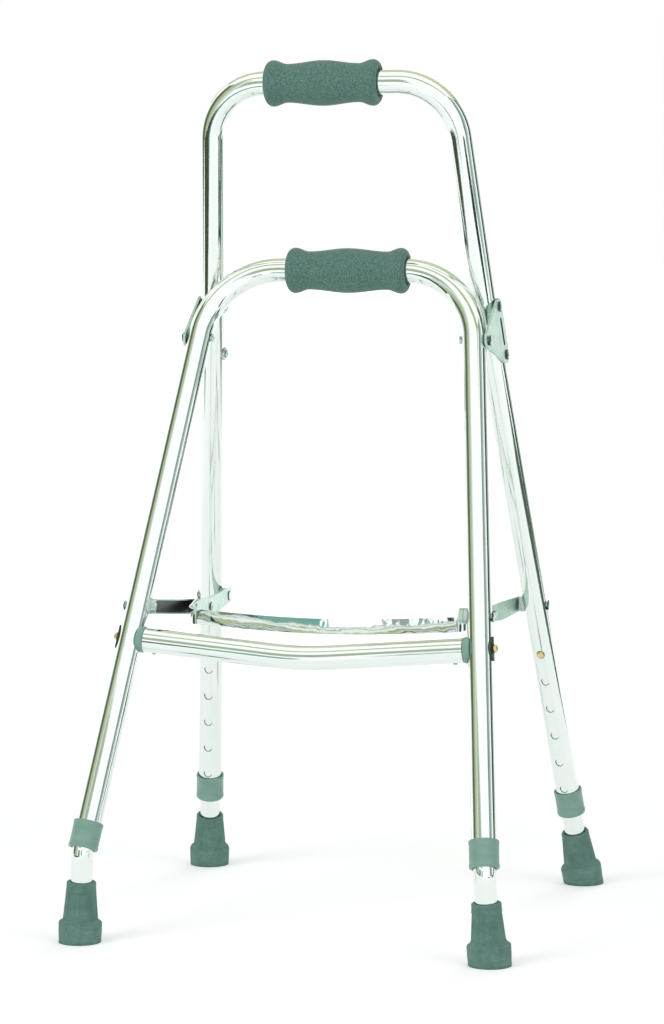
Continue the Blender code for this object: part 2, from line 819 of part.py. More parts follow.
def make_pivot():
    """Make the rivet that hinges the front frame to the right plate."""
    out = plate_frame().to_3x3() @ Vector((0.0, 0.0, 1.0))
    plate_x = pivot_in_plate().x
    slope = math.hypot(out.y, out.z) / out.x
    seat = plate_x + PLATE_THICKNESS / 2 + BOLT_HEAD_RADIUS * slope + FIT
    inner = PIVOT.x - TUBE_RADIUS - FIT * 3
    rivet = fastener(
        "pivot_rivet_right",
        (BOLT_HEAD_RADIUS, BOLT_HEAD_HEIGHT),
        BOLT_RADIUS,
        seat - inner,
        (RIVET_FOOT_RADIUS, RIVET_FOOT_HEIGHT),
        ZINC,
    )
    return aim(rivet, Vector((seat, PIVOT.y, PIVOT.z)), X_AXIS)


def make_crossbar():
    """Make the bent tube between the front legs, drilled underneath for its cap screws."""
    outer, middle = crossbar_axis()
    end = outer + (middle - outer).normalized() * CROSSBAR_SETBACK
    points = rounded([end, middle, MIRROR @ end], [0.0, CROSSBAR_BEND, 0.0])
    bar = tube("crossbar", points, TUBE_RADIUS, TUBE_WALL, ALUMINIUM)
    spot, down = cap_screw_seat()
    hole = drill([(spot, spot + down * (TUBE_RADIUS + 0.003))], CAP_SCREW_RADIUS + BORE_PLAY)
    return cut(bar, both_sides(gather("crossbar_screw_holes", hole)))


def cap_screw_seat():
    """Return the point on the crossbar's axis above the right cap screw, and the screw's direction."""
    outer, middle = crossbar_axis()
    inward = (middle - outer).normalized()
    down = Vector((0.0, 0.0, -1.0))
    down = (down - inward * down.dot(inward)).normalized()
    return outer + inward * (CROSSBAR_SETBACK + CAP_SCREW_FROM_END), down


def make_crossbar_ends(envelope):
    """Make the saddle caps, bolts, saddle washers and small screws at the crossbar's ends."""
    outer, middle = crossbar_axis()
    inward = (middle - outer).normalized()
    bore = BOLT_RADIUS + BORE_PLAY
    plug = TUBE_RADIUS - TUBE_WALL - BORE_PLAY - 0.0002
    face = CROSSBAR_SETBACK - FIT
    tip = face + CAP_PLUG_LENGTH
    profile = [
        (bore, tip),
        (plug, tip),
        (plug, face),
        (CAP_RADIUS - 0.0006, face),
        (CAP_RADIUS, face - 0.0010),
        (CAP_RADIUS, CAP_SADDLE_DEPTH),
        (bore, CAP_SADDLE_DEPTH),
    ]
    cap = aim(turned("crossbar_cap_right", profile, GREY_PLASTIC, ring=True), outer, inward)
    cut(cap, envelope)
    spot, down = cap_screw_seat()
    depth = TUBE_RADIUS - CAP_SCREW_LENGTH - CAP_POCKET_PLAY
    bore_ends = [(spot + down * depth, spot + down * (TUBE_RADIUS + 0.003))]
    pocket = drill(bore_ends, CAP_SCREW_RADIUS + BORE_PLAY)
    cut(cap, gather("cap_screw_hole", pocket))

    near = TUBE_RADIUS + FIT
    seat = near + SADDLE_WASHER_THICKNESS + FIT
    bolt = fastener(
        "crossbar_bolt_right",
        (CROSSBAR_BOLT_HEAD_RADIUS, CROSSBAR_BOLT_HEAD_HEIGHT),
        BOLT_RADIUS,
        seat + tip - 0.004,
        (BOLT_RADIUS * 0.8, 0.001),
        BRASS,
    )
    aim(bolt, outer - inward * seat, -inward)
    height = near + SADDLE_WASHER_THICKNESS
    profile = [
        (0.0, height),
        (SADDLE_WASHER_RADIUS, height),
        (SADDLE_WASHER_RADIUS, near - 0.0035),
        (0.0, near - 0.0035),
    ]
    saddle = turned("saddle_washer_right", profile, DARK_METAL, 16)
    up_leg = (FRONT_LEG.direction - inward * FRONT_LEG.direction.dot(inward)).normalized()
    saddle.matrix_world = frame_of(outer, up_leg, up_leg.cross(inward))
    saddle.scale.x = SADDLE_WASHER_LENGTH / (2 * SADDLE_WASHER_RADIUS)
    cut(saddle, gather("saddle_bore", drill([(outer, outer - inward * (seat + 0.004))], bore)))
    cut(saddle, envelope)
    screw = fastener(
        "crossbar_screw_right",
        (CAP_SCREW_HEAD_RADIUS, CAP_SCREW_HEAD_HEIGHT),
        CAP_SCREW_RADIUS,
        CAP_SCREW_LENGTH,
        (CAP_SCREW_RADIUS * 0.6, 0.0006),
        ZINC,
    )
    aim(screw, spot + down * (TUBE_RADIUS + FIT), down)
    return cap, bolt, saddle, screw


def link_stack():
    """Return the |x| of the lever's outer face at the knee, and of the link's at knee and leg."""
    fall = math.tan(math.radians(LEVER_TILT)) * LEVER_LENGTH
    lever = LEVER_END.x - TUBE_RADIUS - LEVER_STANDOFF - fall
    return lever, lever + KNEE_GAP + LINK_WALL, LINK_END.x - TUBE_RADIUS - LINK_STANDOFF


def lever_frame():
    """Return the right lever's placing matrix: its outer face at the pivot, X to the knee, Z inward."""
    run = Vector((0.0, KNEE.y - LEVER_END.y, KNEE.z - LEVER_END.z)).normalized()
    up = Vector((0.0, run.z, -run.y))
    tilt = math.radians(LEVER_TILT)
    along = run * math.cos(tilt) - X_AXIS * math.sin(tilt)
    origin = Vector((LEVER_END.x - TUBE_RADIUS - LEVER_STANDOFF, LEVER_END.y, LEVER_END.z))
    return frame_of(origin, along, up)


def lever_point(from_pivot, rise, inward=0.0):
    """Return the point of the right lever at a distance from its pivot, a rise and a depth inward."""
    reach = from_pivot / math.cos(math.radians(LEVER_TILT))
    return lever_frame() @ Vector((reach, rise, inward))


def make_lever():
    """Make the right lever, a flat plate with a pointed nose and the inner head of its pivot stud."""
    stretch = 1.0 / math.cos(math.radians(LEVER_TILT))
    corners = [
        ((-LEVER_TAIL, LEVER_END_HEIGHT), LEVER_END_CORNER),
        ((0.010, LEVER_TOP), LEVER_EDGE_CURVE),
        ((LEVER_LENGTH, LEVER_TOP), LEVER_EDGE_CURVE),
        ((LEVER_SHOULDER_FROM_PIVOT, LEVER_SHOULDER), LEVER_EDGE_CURVE),
        ((LEVER_NOSE_FROM_PIVOT, LEVER_NOSE_RISE), LEVER_NOSE_CORNER),
        ((LEVER_LENGTH, -LEVER_KNEE_BELOW), LEVER_EDGE_CURVE),
        ((LEVER_BELLY_FROM_PIVOT, -LEVER_BELLY), LEVER_EDGE_CURVE),
        ((0.004, -LEVER_END_HEIGHT), LEVER_EDGE_CURVE),
        ((-LEVER_TAIL, -LEVER_END_HEIGHT), LEVER_END_CORNER),
    ]
    points = [Vector((x * stretch, y)) for (x, y), _ in corners]
    outline = rounded(points, [radius for _, radius in corners], closed=True)
    hole = BOLT_RADIUS + BORE_PLAY
    small = circle((BAIL_RIVET_FROM_PIVOT * stretch, BAIL_RIVET_RISE), BAIL_RIVET_RADIUS + BORE_PLAY)
    loops = [outline, circle((LEVER_LENGTH * stretch, 0.0), hole), small]
    plate = flat("lever_right", loops, LEVER_THICKNESS, PLATE_METAL)
    placing = lever_frame()
    plate.matrix_world = placing @ Matrix.Translation((0.0, 0.0, LEVER_THICKNESS / 2))

    height = BOLT_HEAD_HEIGHT * 0.6
    profile = [
        (0.0, height),
        (BOLT_HEAD_RADIUS * 0.6, height * 0.85),
        (BOLT_HEAD_RADIUS, height * 0.3),
        (BOLT_HEAD_RADIUS, -LEVER_THICKNESS / 2),
        (0.0, -LEVER_THICKNESS / 2),
    ]
    stud = turned("lever_stud", profile, steps=SIDES)
    stud.matrix_world = placing @ Matrix.Translation((0.0, 0.0, LEVER_THICKNESS))
    return cut(plate, stud, joined=True)


def make_knee():
    """Make the right knee rivet, which passes along X through lever and link."""
    lever_x, link_x, _ = link_stack()
    lever_slope = math.tan(math.radians(LEVER_TILT)) * KNEE_HEAD_RADIUS
    link_slope = (link_stack()[2] - link_x) / (KNEE - LINK_END).length * KNEE_HEAD_RADIUS
    outer = link_x + link_slope + FIT
    inner = lever_x - LEVER_THICKNESS - lever_slope - FIT
    rivet = fastener(
        "knee_rivet_right",
        (KNEE_HEAD_RADIUS, KNEE_HEAD_HEIGHT),
        BOLT_RADIUS,
        outer - inner,
        (KNEE_HEAD_RADIUS, KNEE_HEAD_HEIGHT),
        ZINC,
    )
    return aim(rivet, Vector((outer, KNEE.y, KNEE.z)), X_AXIS)


def make_link():
    """Make the right link, a channel open to the lever, its flanges cut back where the lever folds."""
    _, knee_x, leg_x = link_stack()
    start = Vector((leg_x, LINK_END.y, LINK_END.z))
    end = Vector((knee_x, KNEE.y, KNEE.z))
    along = (end - start).normalized()
    up = Vector((0.0, -along.z, along.y)).normalized()
    length = (end - start).length
    half = LINK_HALF_HEIGHT
    corners = [(-half, half), (length + half, half), (length + half, -half), (-half, -half)]
    outline = rounded([Vector(corner) for corner in corners], [half * 0.999] * 4, closed=True)
    hole = BOLT_RADIUS + BORE_PLAY
    loops = [outline, circle((0.0, 0.0), hole), circle((length, 0.0), hole)]
    body = flat("link_right", loops, LINK_DEPTH, PLATE_METAL)
    placing = frame_of(start, along, up)
    body.matrix_world = placing @ Matrix.Translation((0.0, 0.0, -LINK_DEPTH / 2))

    inside = half - LINK_FLANGE_WALL
    flange_end = length - LINK_OPEN_LENGTH
    wide = half * 2
    corners = [
        ((-inside, inside), inside * 0.999),
        ((flange_end, inside), 0.0),
        ((flange_end + half, wide), 0.0),
        ((length + wide, wide), 0.0),
        ((length + wide, -wide), 0.0),
        ((flange_end + half, -wide), 0.0),
        ((flange_end, -inside), 0.0),
        ((-inside, -inside), inside * 0.999),
    ]
    radii = [radius for _, radius in corners]
    line = rounded([Vector(corner) for corner, _ in corners], radii, closed=True)
    pocket = flat("link_pocket", [line], LINK_DEPTH)
    pocket.matrix_world = placing @ Matrix.Translation((0.0, 0.0, -LINK_WALL - LINK_DEPTH / 2))
    return cut(body, pocket)


def make_link_bolts(envelope):
    """Make the bolt and saddle spacer that hold the right link to its front leg."""
    _, knee_x, leg_x = link_stack()
    slope = (leg_x - knee_x) / (KNEE - LINK_END).length
    side = math.tan(math.radians(FRONT_SPLAY))
    outer = LINK_END.x + TUBE_RADIUS + side * BOLT_HEAD_RADIUS + FIT
    inner = leg_x - LINK_WALL - slope * RIVET_FOOT_RADIUS - FIT
    bolt = fastener(
        "link_pivot_bolt_right",
        (BOLT_HEAD_RADIUS, BOLT_HEAD_HEIGHT),
        BOLT_RADIUS,
        outer - inner,
        (RIVET_FOOT_RADIUS, RIVET_FOOT_HEIGHT),
        ZINC,
    )
    aim(bolt, Vector((outer, LINK_END.y, LINK_END.z)), X_AXIS)
    near = LINK_END.x - leg_x - slope * SPACER_RADIUS - FIT
    spacer = ring_disc("link_spacer_right", SPACER_RADIUS, TUBE_RADIUS * 0.5, near, PALE_PLASTIC)
    return bolt, cut(aim(spacer, LINK_END, -X_AXIS), envelope)


def make_lever_bolts(envelope):
    """Make the bolt and saddle spacer on the right rear leg that the lever turns on."""
    side = math.tan(math.radians(REAR_SPLAY))
    outer = LEVER_END.x + TUBE_RADIUS + side * BOLT_HEAD_RADIUS + FIT
    face = TUBE_RADIUS + LEVER_STANDOFF - math.tan(math.radians(LEVER_TILT)) * LEVER_TAIL - FIT
    bolt = fastener(
        "lever_pivot_bolt_right",
        (BOLT_HEAD_RADIUS, BOLT_HEAD_HEIGHT),
        BOLT_RADIUS,
        outer - LEVER_END.x + face - 0.0002,
        (BOLT_RADIUS * 0.9, 0.0002),
        ZINC,
    )
    aim(bolt, Vector((outer, LEVER_END.y, LEVER_END.z)), X_AXIS)
    spacer = ring_disc("lever_spacer_right", SPACER_RADIUS, TUBE_RADIUS * 0.5, face, PALE_PLASTIC)
    return bolt, cut(aim(spacer, LEVER_END, -X_AXIS), envelope)


def make_bail():
    """Make the polished strip across both levers, and the small rivet that holds its right end."""
    outside = -FIT - BAIL_THICKNESS / 2
    tail = lever_point(BAIL_TAIL_FROM_PIVOT, BAIL_TAIL_RISE, outside)
    corner = lever_point(BAIL_CORNER_FROM_PIVOT, BAIL_CORNER_RISE, outside)
    middle = Vector((0.0, corner.y - BAIL_BOW, corner.z - BAIL_SAG))
    turns = [tail, corner, middle, MIRROR @ corner, MIRROR @ tail]
    line = rounded(turns, [0.0, BAIL_CORNER, BAIL_BOW_RADIUS, BAIL_CORNER, 0.0])
    strip = ribbon("bail_strip", line, Vector((0.0, 0.0, 1.0)), BAIL_HEIGHT, BAIL_THICKNESS, STRIP_METAL)

    out = -(lever_frame().to_3x3() @ Vector((0.0, 0.0, 1.0)))
    spot = lever_point(BAIL_RIVET_FROM_PIVOT, BAIL_RIVET_RISE)
    seat = FIT + BAIL_THICKNESS + FIT
    rivet = fastener(
        "bail_rivet_right",
        (BAIL_RIVET_HEAD_RADIUS, BAIL_RIVET_HEAD_HEIGHT),
        BAIL_RIVET_RADIUS,
        seat + LEVER_THICKNESS + FIT,
        (BAIL_RIVET_HEAD_RADIUS, BAIL_RIVET_HEAD_HEIGHT),
        ZINC,
    )
    aim(rivet, spot + out * seat, out)
    hole = drill([(spot - out * 0.0001, spot + out * (seat + 0.001))], BAIL_RIVET_RADIUS + BORE_PLAY)
    return cut(strip, both_sides(gather("bail_holes", hole))), rivet


def make_extension(name, leg, towards, foot):
    """Make the right extension tube of a leg, with the hole for its button.

    Args:
        name: the object's name.
        leg: the line that the extension slides along.
        towards: +1 or -1, the way along Y that its button faces.
        foot: the line it follows into its tip.
    """
    button, facing = button_frame(leg, towards)
    top = leg.along(button, EXTENSION_ABOVE_BUTTON)
    low = foot.along(foot.at(0.0), TIP_SOLE + FIT)
    turn = leg.at(FOOT_TURN_HEIGHT)
    points = rounded([top, turn, low], [0.0, FOOT_TURN_RADIUS, 0.0])
    body = tube(name, points, EXTENSION_RADIUS, EXTENSION_WALL, ALUMINIUM)
    hole = drill([(button + facing * 0.003, button + facing * 0.013)], BUTTON_RADIUS + BORE_PLAY)
    return cut(body, gather(name + "_hole", hole))


def make_collar(name, leg, height):
    """Make the right collar on the lower end of a frame tube."""
    sleeve = TUBE_RADIUS + BORE_PLAY
    lip = EXTENSION_RADIUS + LIP_PLAY
    chamfer = COLLAR_CHAMFER
    profile = [
        (sleeve, COLLAR_LENGTH),
        (COLLAR_RADIUS - chamfer, COLLAR_LENGTH),
        (COLLAR_RADIUS, COLLAR_LENGTH - chamfer),
        (COLLAR_RADIUS, chamfer),
        (COLLAR_RADIUS - chamfer, 0.0),
        (lip, 0.0),
        (lip, COLLAR_LIP),
        (sleeve, COLLAR_LIP),
    ]
    return aim(turned(name, profile, GREY_PLASTIC, ring=True), leg.at(height), leg.direction)


def make_tip(name, foot):
    """Make the right rubber tip of a leg, its sole cut level with the floor."""
    bore = EXTENSION_RADIUS + BORE_PLAY
    below = -TIP_BASE_RADIUS / 2
    profile = [
        (0.0, TIP_SOLE),
        (bore, TIP_SOLE),
        (bore, TIP_HEIGHT),
        (TIP_RIM_RADIUS - TIP_BASE_CHAMFER, TIP_HEIGHT),
        (TIP_RIM_RADIUS, TIP_HEIGHT - TIP_BASE_CHAMFER),
        (TIP_NECK_RADIUS, TIP_BASE_HEIGHT + TIP_BASE_CHAMFER),
        (TIP_BASE_RADIUS - TIP_BASE_CHAMFER, TIP_BASE_HEIGHT),
        (TIP_BASE_RADIUS, TIP_BASE_HEIGHT - TIP_BASE_CHAMFER),
        (TIP_BASE_RADIUS, below),
        (0.0, below),
    ]
    tip = aim(turned(name, profile, RUBBER), foot.at(0.0), foot.direction)
    return cut(tip, FLOOR)


def make_floor():
    """Make the block under z = 0 that levels the soles."""
    bm = bmesh.new()
    bmesh.ops.create_cube(bm, size=1.0)
    bmesh.ops.scale(bm, vec=(0.6, 0.6, 0.1), verts=bm.verts)
    bmesh.ops.translate(bm, vec=(0.0, 0.0, -0.05), verts=bm.verts)
    return add_mesh("floor", bm)


def make_clip(name, leg, towards):
    """Make the right snap button of a leg, on the bent leaf spring inside its extension."""
    button, facing = button_frame(leg, towards)
    across = leg.direction.cross(facing)
    head = TUBE_RADIUS + BUTTON_PROUD
    foot = button - leg.direction * LEAF_LENGTH
    front = button + facing * LEAF_REACH
    back = button - facing * LEAF_REACH
    turns = [
        front + leg.direction * BUTTON_RADIUS * 1.6,
        front - leg.direction * BUTTON_RADIUS * 1.6,
        foot + facing * LEAF_BEND,
        foot - facing * LEAF_BEND,
        back,
    ]
    line = rounded(turns, [0.0, BUTTON_RADIUS, LEAF_BEND * 0.6, LEAF_BEND * 0.6, 0.0])
    leaf = ribbon(name, line, across, LEAF_WIDTH, LEAF_THICKNESS, BRASS)
    profile = [
        (0.0, head),
        (BUTTON_RADIUS * 0.6, head - 0.0005),
        (BUTTON_RADIUS * 0.92, head - 0.0015),
        (BUTTON_RADIUS, head - 0.0028),
        (BUTTON_RADIUS, LEAF_REACH),
        (0.0, LEAF_REACH),
    ]
    knob = aim(turned(name + "_knob", profile), button, facing)
    return cut(leaf, knob, joined=True)


def carry_pair(holder, *pieces):
    """Parent right-hand pieces and their left-hand copies to a holder."""
    for piece in pieces:
        carry(holder, piece, left_twin(piece))


def build_rear_frame(root):
    """Make the pieces that stay still."""
    body, envelope = make_rear_frame()
    grip = make_grip("rear_grip", REAR_GRIP_LENGTH, REAR_GRIP_SHIFT, REAR_TOP.at(REAR_HEIGHT))
    carry(root, body, grip)
    carry_pair(root, make_hinge(), make_collar("rear_collar_right", REAR_LEG, REAR_COLLAR_HEIGHT))
    carry_pair(root, *make_plate_fasteners(envelope), *make_lever_bolts(envelope))


def build_front_frame(holder):
    """Make the pieces that swing with the front frame."""
    body, envelope = make_front_frame()
    grip = make_grip("front_grip", FRONT_GRIP_LENGTH, FRONT_GRIP_SHIFT, FRONT_LEG.at(FRONT_HEIGHT))
    carry(holder, body, grip, make_crossbar())
    carry_pair(holder, make_collar("front_collar_right", FRONT_LEG, FRONT_COLLAR_HEIGHT))
    carry_pair(holder, make_pivot(), *make_crossbar_ends(envelope), *make_link_bolts(envelope))


def build_linkage(holder):
    """Make both links, and the levers and bail that hang from the right link at its knee."""
    link = make_link()
    for side, piece in (("left", left_twin(link)), ("right", link)):
        link_axis = axes(f"link_{side}_axis", Vector((0.0, LINK_END.y, LINK_END.z)))
        carry(holder, link_axis)
        carry(link_axis, piece)
    bail_axis = axes("bail_axis", KNEE)
    carry(link_axis, bail_axis)
    strip, rivet = make_bail()
    carry(bail_axis, strip)
    carry_pair(bail_axis, make_lever(), make_knee(), rivet)


def build_legs(end, leg, foot, towards, holder):
    """Make both extension tubes of one frame, with their tips and snap buttons.

    Args:
        end: the frame's name, front or rear.
        leg: the right leg's centre line.
        foot: the line that its extension follows into the tip.
        towards: +1 or -1, the way along Y that the buttons face.
        holder: the frame's empty.
    """
    right = [
        make_extension(f"{end}_extension_right", leg, towards, foot),
        make_tip(f"{end}_tip_right", foot),
        make_clip(f"{end}_clip_right", leg, towards),
    ]
    left = [left_twin(piece) for piece in right]
    spot = button_centre(leg, towards)
    for side, place, (extension, tip, clip) in (("right", spot, right), ("left", MIRROR @ spot, left)):
        leg_axis = axes(f"{end}_leg_{side}_axis", place)
        clip_axis = axes(f"{end}_clip_{side}_axis", place)
        carry(holder, leg_axis)
        carry(leg_axis, clip_axis, extension, tip)
        carry(clip_axis, clip)


def build():
    """Make every piece and hang it on the joint that carries it."""
    root = axes("rear_frame_axis", Vector((0.0, 0.0, 0.0)))
    swing = axes("front_frame_axis", Vector((0.0, PIVOT.y, PIVOT.z)))
    carry(root, swing)
    build_rear_frame(root)
    build_front_frame(swing)
    build_linkage(swing)
    build_legs("rear", REAR_LEG, REAR_LEG, -1, root)
    build_legs("front", FRONT_LEG, FRONT_FOOT, 1, swing)


FLOOR = make_floor()
build()
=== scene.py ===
"""Finished surfaces, fine meshes and studio for a folding one-handed walker.

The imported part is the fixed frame. Every round or edged piece of it is modelled again here with a fine mesh and
given its finish: drawn and polished aluminium tube, foam grips, zinc-plated steel plates, a mirror-bright strip,
rubber tips. Sizes are in metres, in the frame of the part: +Z up, +X to the right, the short frame towards -Y.
"""

import logging
import math
from contextlib import contextmanager
from dataclasses import dataclass, field
from enum import Enum
from typing import Callable, Iterator, Sequence, Union

import bmesh
import bpy
import numpy as np
from mathutils import Matrix, Vector


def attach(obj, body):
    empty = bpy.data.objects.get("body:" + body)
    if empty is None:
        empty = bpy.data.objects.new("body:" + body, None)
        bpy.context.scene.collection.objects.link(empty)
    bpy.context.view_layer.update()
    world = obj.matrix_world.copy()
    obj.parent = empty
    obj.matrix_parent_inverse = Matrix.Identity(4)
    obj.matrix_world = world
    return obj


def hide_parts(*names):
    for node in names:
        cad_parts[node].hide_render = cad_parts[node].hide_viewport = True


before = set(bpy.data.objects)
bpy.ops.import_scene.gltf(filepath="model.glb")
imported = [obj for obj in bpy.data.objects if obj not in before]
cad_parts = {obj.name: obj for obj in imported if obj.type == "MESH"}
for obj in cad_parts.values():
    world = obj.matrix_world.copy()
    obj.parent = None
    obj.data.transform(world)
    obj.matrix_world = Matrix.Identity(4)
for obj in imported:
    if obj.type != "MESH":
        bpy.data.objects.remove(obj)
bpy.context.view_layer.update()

LOG = logging.getLogger("walker")

Profile = Sequence[tuple[float, float]]
Corner = tuple[float, float, float]
Number = Union[float, "Sock"]
FaceTest = Callable[[Vector, Vector], bool]

MIRROR = Matrix.Scale(-1.0, 4, (1.0, 0.0, 0.0))
X_AXIS = Vector((1.0, 0.0, 0.0))
Z_AXIS = Vector((0.0, 0.0, 1.0))

TUBE_SIDES = 64
TURNED_SIDES = 48
GRIP_SIDES = 96
HOLE_SIDES = 32
PLATE_SIDES = 72
TUBE_EDGE = 0.00016
SHEET_EDGE = 0.0003
BEND_STEP = math.radians(3.0)
TINY = 1e-6
SHARP = math.radians(32.0)
GRAIN = "grain"


class Slot(Enum):
    """The record's material slots."""

    TUBE = "bright_aluminium"
    PLATE = "pale_plate"
    STRIP = "polished_strip"
    ZINC = "zinc"
    DARK = "dark_metal"
    BRASS = "brass"
    GREY_PLASTIC = "grey_plastic"
    PALE_PLASTIC = "pale_plastic"
    FOAM = "foam"
    RUBBER = "rubber"


class Side(Enum):
    """The two sides of the walker, as signs along X."""

    RIGHT = 1.0
    LEFT = -1.0

    @property
    def word(self) -> str:
        """The side's name, as the CAD nodes end."""
        return self.name.lower()


# Lines and frames


@dataclass(frozen=True)
class Line:
    """A straight centre line, met by its height above the floor."""

    point: Vector
    direction: Vector

    def at(self, height: float) -> Vector:
        """Return the point of the line at a height."""
        return self.point + self.direction * ((height - self.point.z) / self.direction.z)

    def along(self, point: Vector, distance: float) -> Vector:
        """Return the point that lies a distance up the line from another of its points."""
        return point + self.direction * distance


@dataclass(frozen=True)
class Turn:
    """A corner of a centre line and the radius it is bent to, 0 where the line runs straight on."""

    point: Vector
    radius: float = 0.0


def upright(point: Vector, lean: float, splay: float) -> Line:
    """Return the line through a point that leans to -Y and to -X by angles in degrees as it rises."""
    slope = Vector((-math.tan(math.radians(splay)), -math.tan(math.radians(lean)), 1.0))
    return Line(Vector(point), slope.normalized())


def frame_of(origin: Vector, x_axis: Vector, y_axis: Vector) -> Matrix:
    """Return the placing matrix with these two axes, which are square to each other."""
    turn = Matrix((x_axis, y_axis, x_axis.cross(y_axis))).transposed().to_4x4()
    return Matrix.Translation(origin) @ turn


def aimed(origin: Vector, direction: Vector) -> Matrix:
    """Return the placing matrix that puts local Z along a direction."""
    return Matrix.Translation(origin) @ direction.to_track_quat("Z", "Y").to_matrix().to_4x4()


def rounded(turns: Sequence[Turn], step: float = BEND_STEP) -> list[Vector]:
    """Return the points of a line with its corners bent to their radii.

    Args:
        turns: the corners, the first and last of which are ends.
        step: the angle between two points of a bend, in radians.

    Returns:
        The points, in order.
    """
    points = [turns[0].point.copy()]
    for before, turn, after in zip(turns, turns[1:], turns[2:]):
        heading = (turn.point - before.point).normalized()
        leaving = (after.point - turn.point).normalized()
        angle = heading.angle(leaving)
        if turn.radius == 0.0 or angle < TINY:
            points.append(turn.point.copy())
            continue
        begin = turn.point - heading * turn.radius * math.tan(angle / 2)
        axis = heading.cross(leaving).normalized()
        centre = begin + axis.cross(heading) * turn.radius
        steps = max(2, math.ceil(angle / step))
        for number in range(steps + 1):
            points.append(centre + Matrix.Rotation(angle * number / steps, 3, axis) @ (begin - centre))
    points.append(turns[-1].point.copy())
    return points


@dataclass(frozen=True)
class LegLines:
    """The right-hand centre lines and heights that pieces are set on. Angles are degrees from the vertical."""

    rear_foot: tuple[float, float] = (0.1887, 0.192645)
    rear_lean: float = 16.79
    rear_splay: float = 6.12
    rear_set_height: float = 0.525
    rear_upper_lean: float = 15.03
    rear_upper_splay: float = 4.99
    front_foot: tuple[float, float] = (0.19205, -0.230225)
    front_lean: float = -22.06
    front_splay: float = 6.78
    foot_turn_height: float = 0.082
    foot_lean: float = 2.45
    foot_splay: float = 2.93
    pivot_height: float = 0.5289
    link_height: float = 0.2913
    lever_height: float = 0.2774
    lever_length: float = 0.081
    past_centre: float = 0.0064
    rear_bar_height: float = 0.7594
    front_bar_height: float = 0.5904
    plate_rivet_low: float = 0.5130
    plate_rivet_top: float = 0.5570
    plate_turn: float = 3.3
    crossbar_height: float = 0.2635
    crossbar_drop: float = 0.0130

    @property
    def rear(self) -> Line:
        """The tall frame's leg below its set."""
        return upright(Vector((*self.rear_foot, 0.0)), self.rear_lean, self.rear_splay)

    @property
    def rear_top(self) -> Line:
        """The tall frame's leg above its set."""
        return upright(self.rear.at(self.rear_set_height), self.rear_upper_lean, self.rear_upper_splay)

    @property
    def front(self) -> Line:
        """The short frame's leg."""
        return upright(Vector((*self.front_foot, 0.0)), self.front_lean, self.front_splay)

    @property
    def front_toe(self) -> Line:
        """The short frame's extension below the turn at its foot."""
        return upright(self.front.at(self.foot_turn_height), self.foot_lean, self.foot_splay)

    @property
    def pivot(self) -> Vector:
        """Where the two frames hinge."""
        return self.front.at(self.pivot_height)

    @property
    def plate_out(self) -> Vector:
        """The direction that the right hinge plate faces, turned a little towards the short frame."""
        run = (self.rear_top.at(self.plate_rivet_top) - self.rear.at(self.plate_rivet_low)).normalized()
        out = Vector((run.z, 0.0, -run.x)).normalized()
        return Matrix.Rotation(-math.radians(self.plate_turn), 3, run) @ out

    @property
    def crossbar_axis(self) -> tuple[Vector, Vector]:
        """Where the crossbar's centre line meets the right leg, and its lowest point."""
        low = self.front.at(self.crossbar_height - self.crossbar_drop)
        return self.front.at(self.crossbar_height), Vector((0.0, low.y, low.z))

    @property
    def link_end(self) -> Vector:
        """Where the link turns on the short frame's leg."""
        return self.front.at(self.link_height)

    @property
    def lever_end(self) -> Vector:
        """Where the lever turns on the tall frame's leg."""
        return self.rear.at(self.lever_height)

    @property
    def knee(self) -> Vector:
        """Where link and lever meet, at x = 0."""
        near, far = self.link_end, self.lever_end
        span = Vector((0.0, far.y - near.y, far.z - near.z)).normalized()
        down = Vector((0.0, span.z, -span.y))
        back = math.sqrt(self.lever_length**2 - self.past_centre**2)
        return Vector((0.0, far.y, far.z)) - span * back + down * self.past_centre


LEGS = LegLines()


@dataclass(frozen=True)
class Stock:
    """The tube stock and the bores that pieces share."""

    tube_radius: float = 0.0111
    tube_wall: float = 0.0011
    extension_radius: float = 0.0095
    extension_wall: float = 0.0012
    bolt_radius: float = 0.0025
    fit: float = 0.0003
    bore_play: float = 0.0004

    @property
    def bore(self) -> float:
        """The radius of a bolt's hole."""
        return self.bolt_radius + self.bore_play


STOCK = Stock()


# Modelling bench


def select_only(obj: bpy.types.Object) -> None:
    """Deselect everything, then select one object and make it active."""
    bpy.ops.object.select_all(action="DESELECT")
    obj.select_set(True)
    bpy.context.view_layer.objects.active = obj


@contextmanager
def editing(obj: bpy.types.Object) -> Iterator[None]:
    """Open an object in edit mode with all of it selected, and close it again."""
    select_only(obj)
    bpy.ops.object.mode_set(mode="EDIT")
    bpy.ops.mesh.select_mode(type="VERT")
    bpy.ops.mesh.select_all(action="SELECT")
    yield
    bpy.ops.object.mode_set(mode="OBJECT")


def pick(obj: bpy.types.Object, test: Callable[[Vector], bool]) -> None:
    """Select, in edit mode, the vertices whose place passes a test."""
    bpy.ops.mesh.select_all(action="DESELECT")
    cage = bmesh.from_edit_mesh(obj.data)
    for vertex in cage.verts:
        vertex.select_set(test(vertex.co))
    cage.select_flush(True)
    bmesh.update_edit_mesh(obj.data)


def pick_faces(obj: bpy.types.Object, test: FaceTest) -> None:
    """Select, in edit mode, the faces whose centre and normal pass a test."""
    bpy.ops.mesh.select_mode(type="FACE")
    bpy.ops.mesh.select_all(action="DESELECT")
    cage = bmesh.from_edit_mesh(obj.data)
    for face in cage.faces:
        face.select_set(test(face.calc_center_median(), face.normal))
    bmesh.update_edit_mesh(obj.data)


def apply_modifiers(obj: bpy.types.Object) -> None:
    """Apply every modifier of an object in order."""
    select_only(obj)
    for modifier in list(obj.modifiers):
        bpy.ops.object.modifier_apply(modifier=modifier.name)


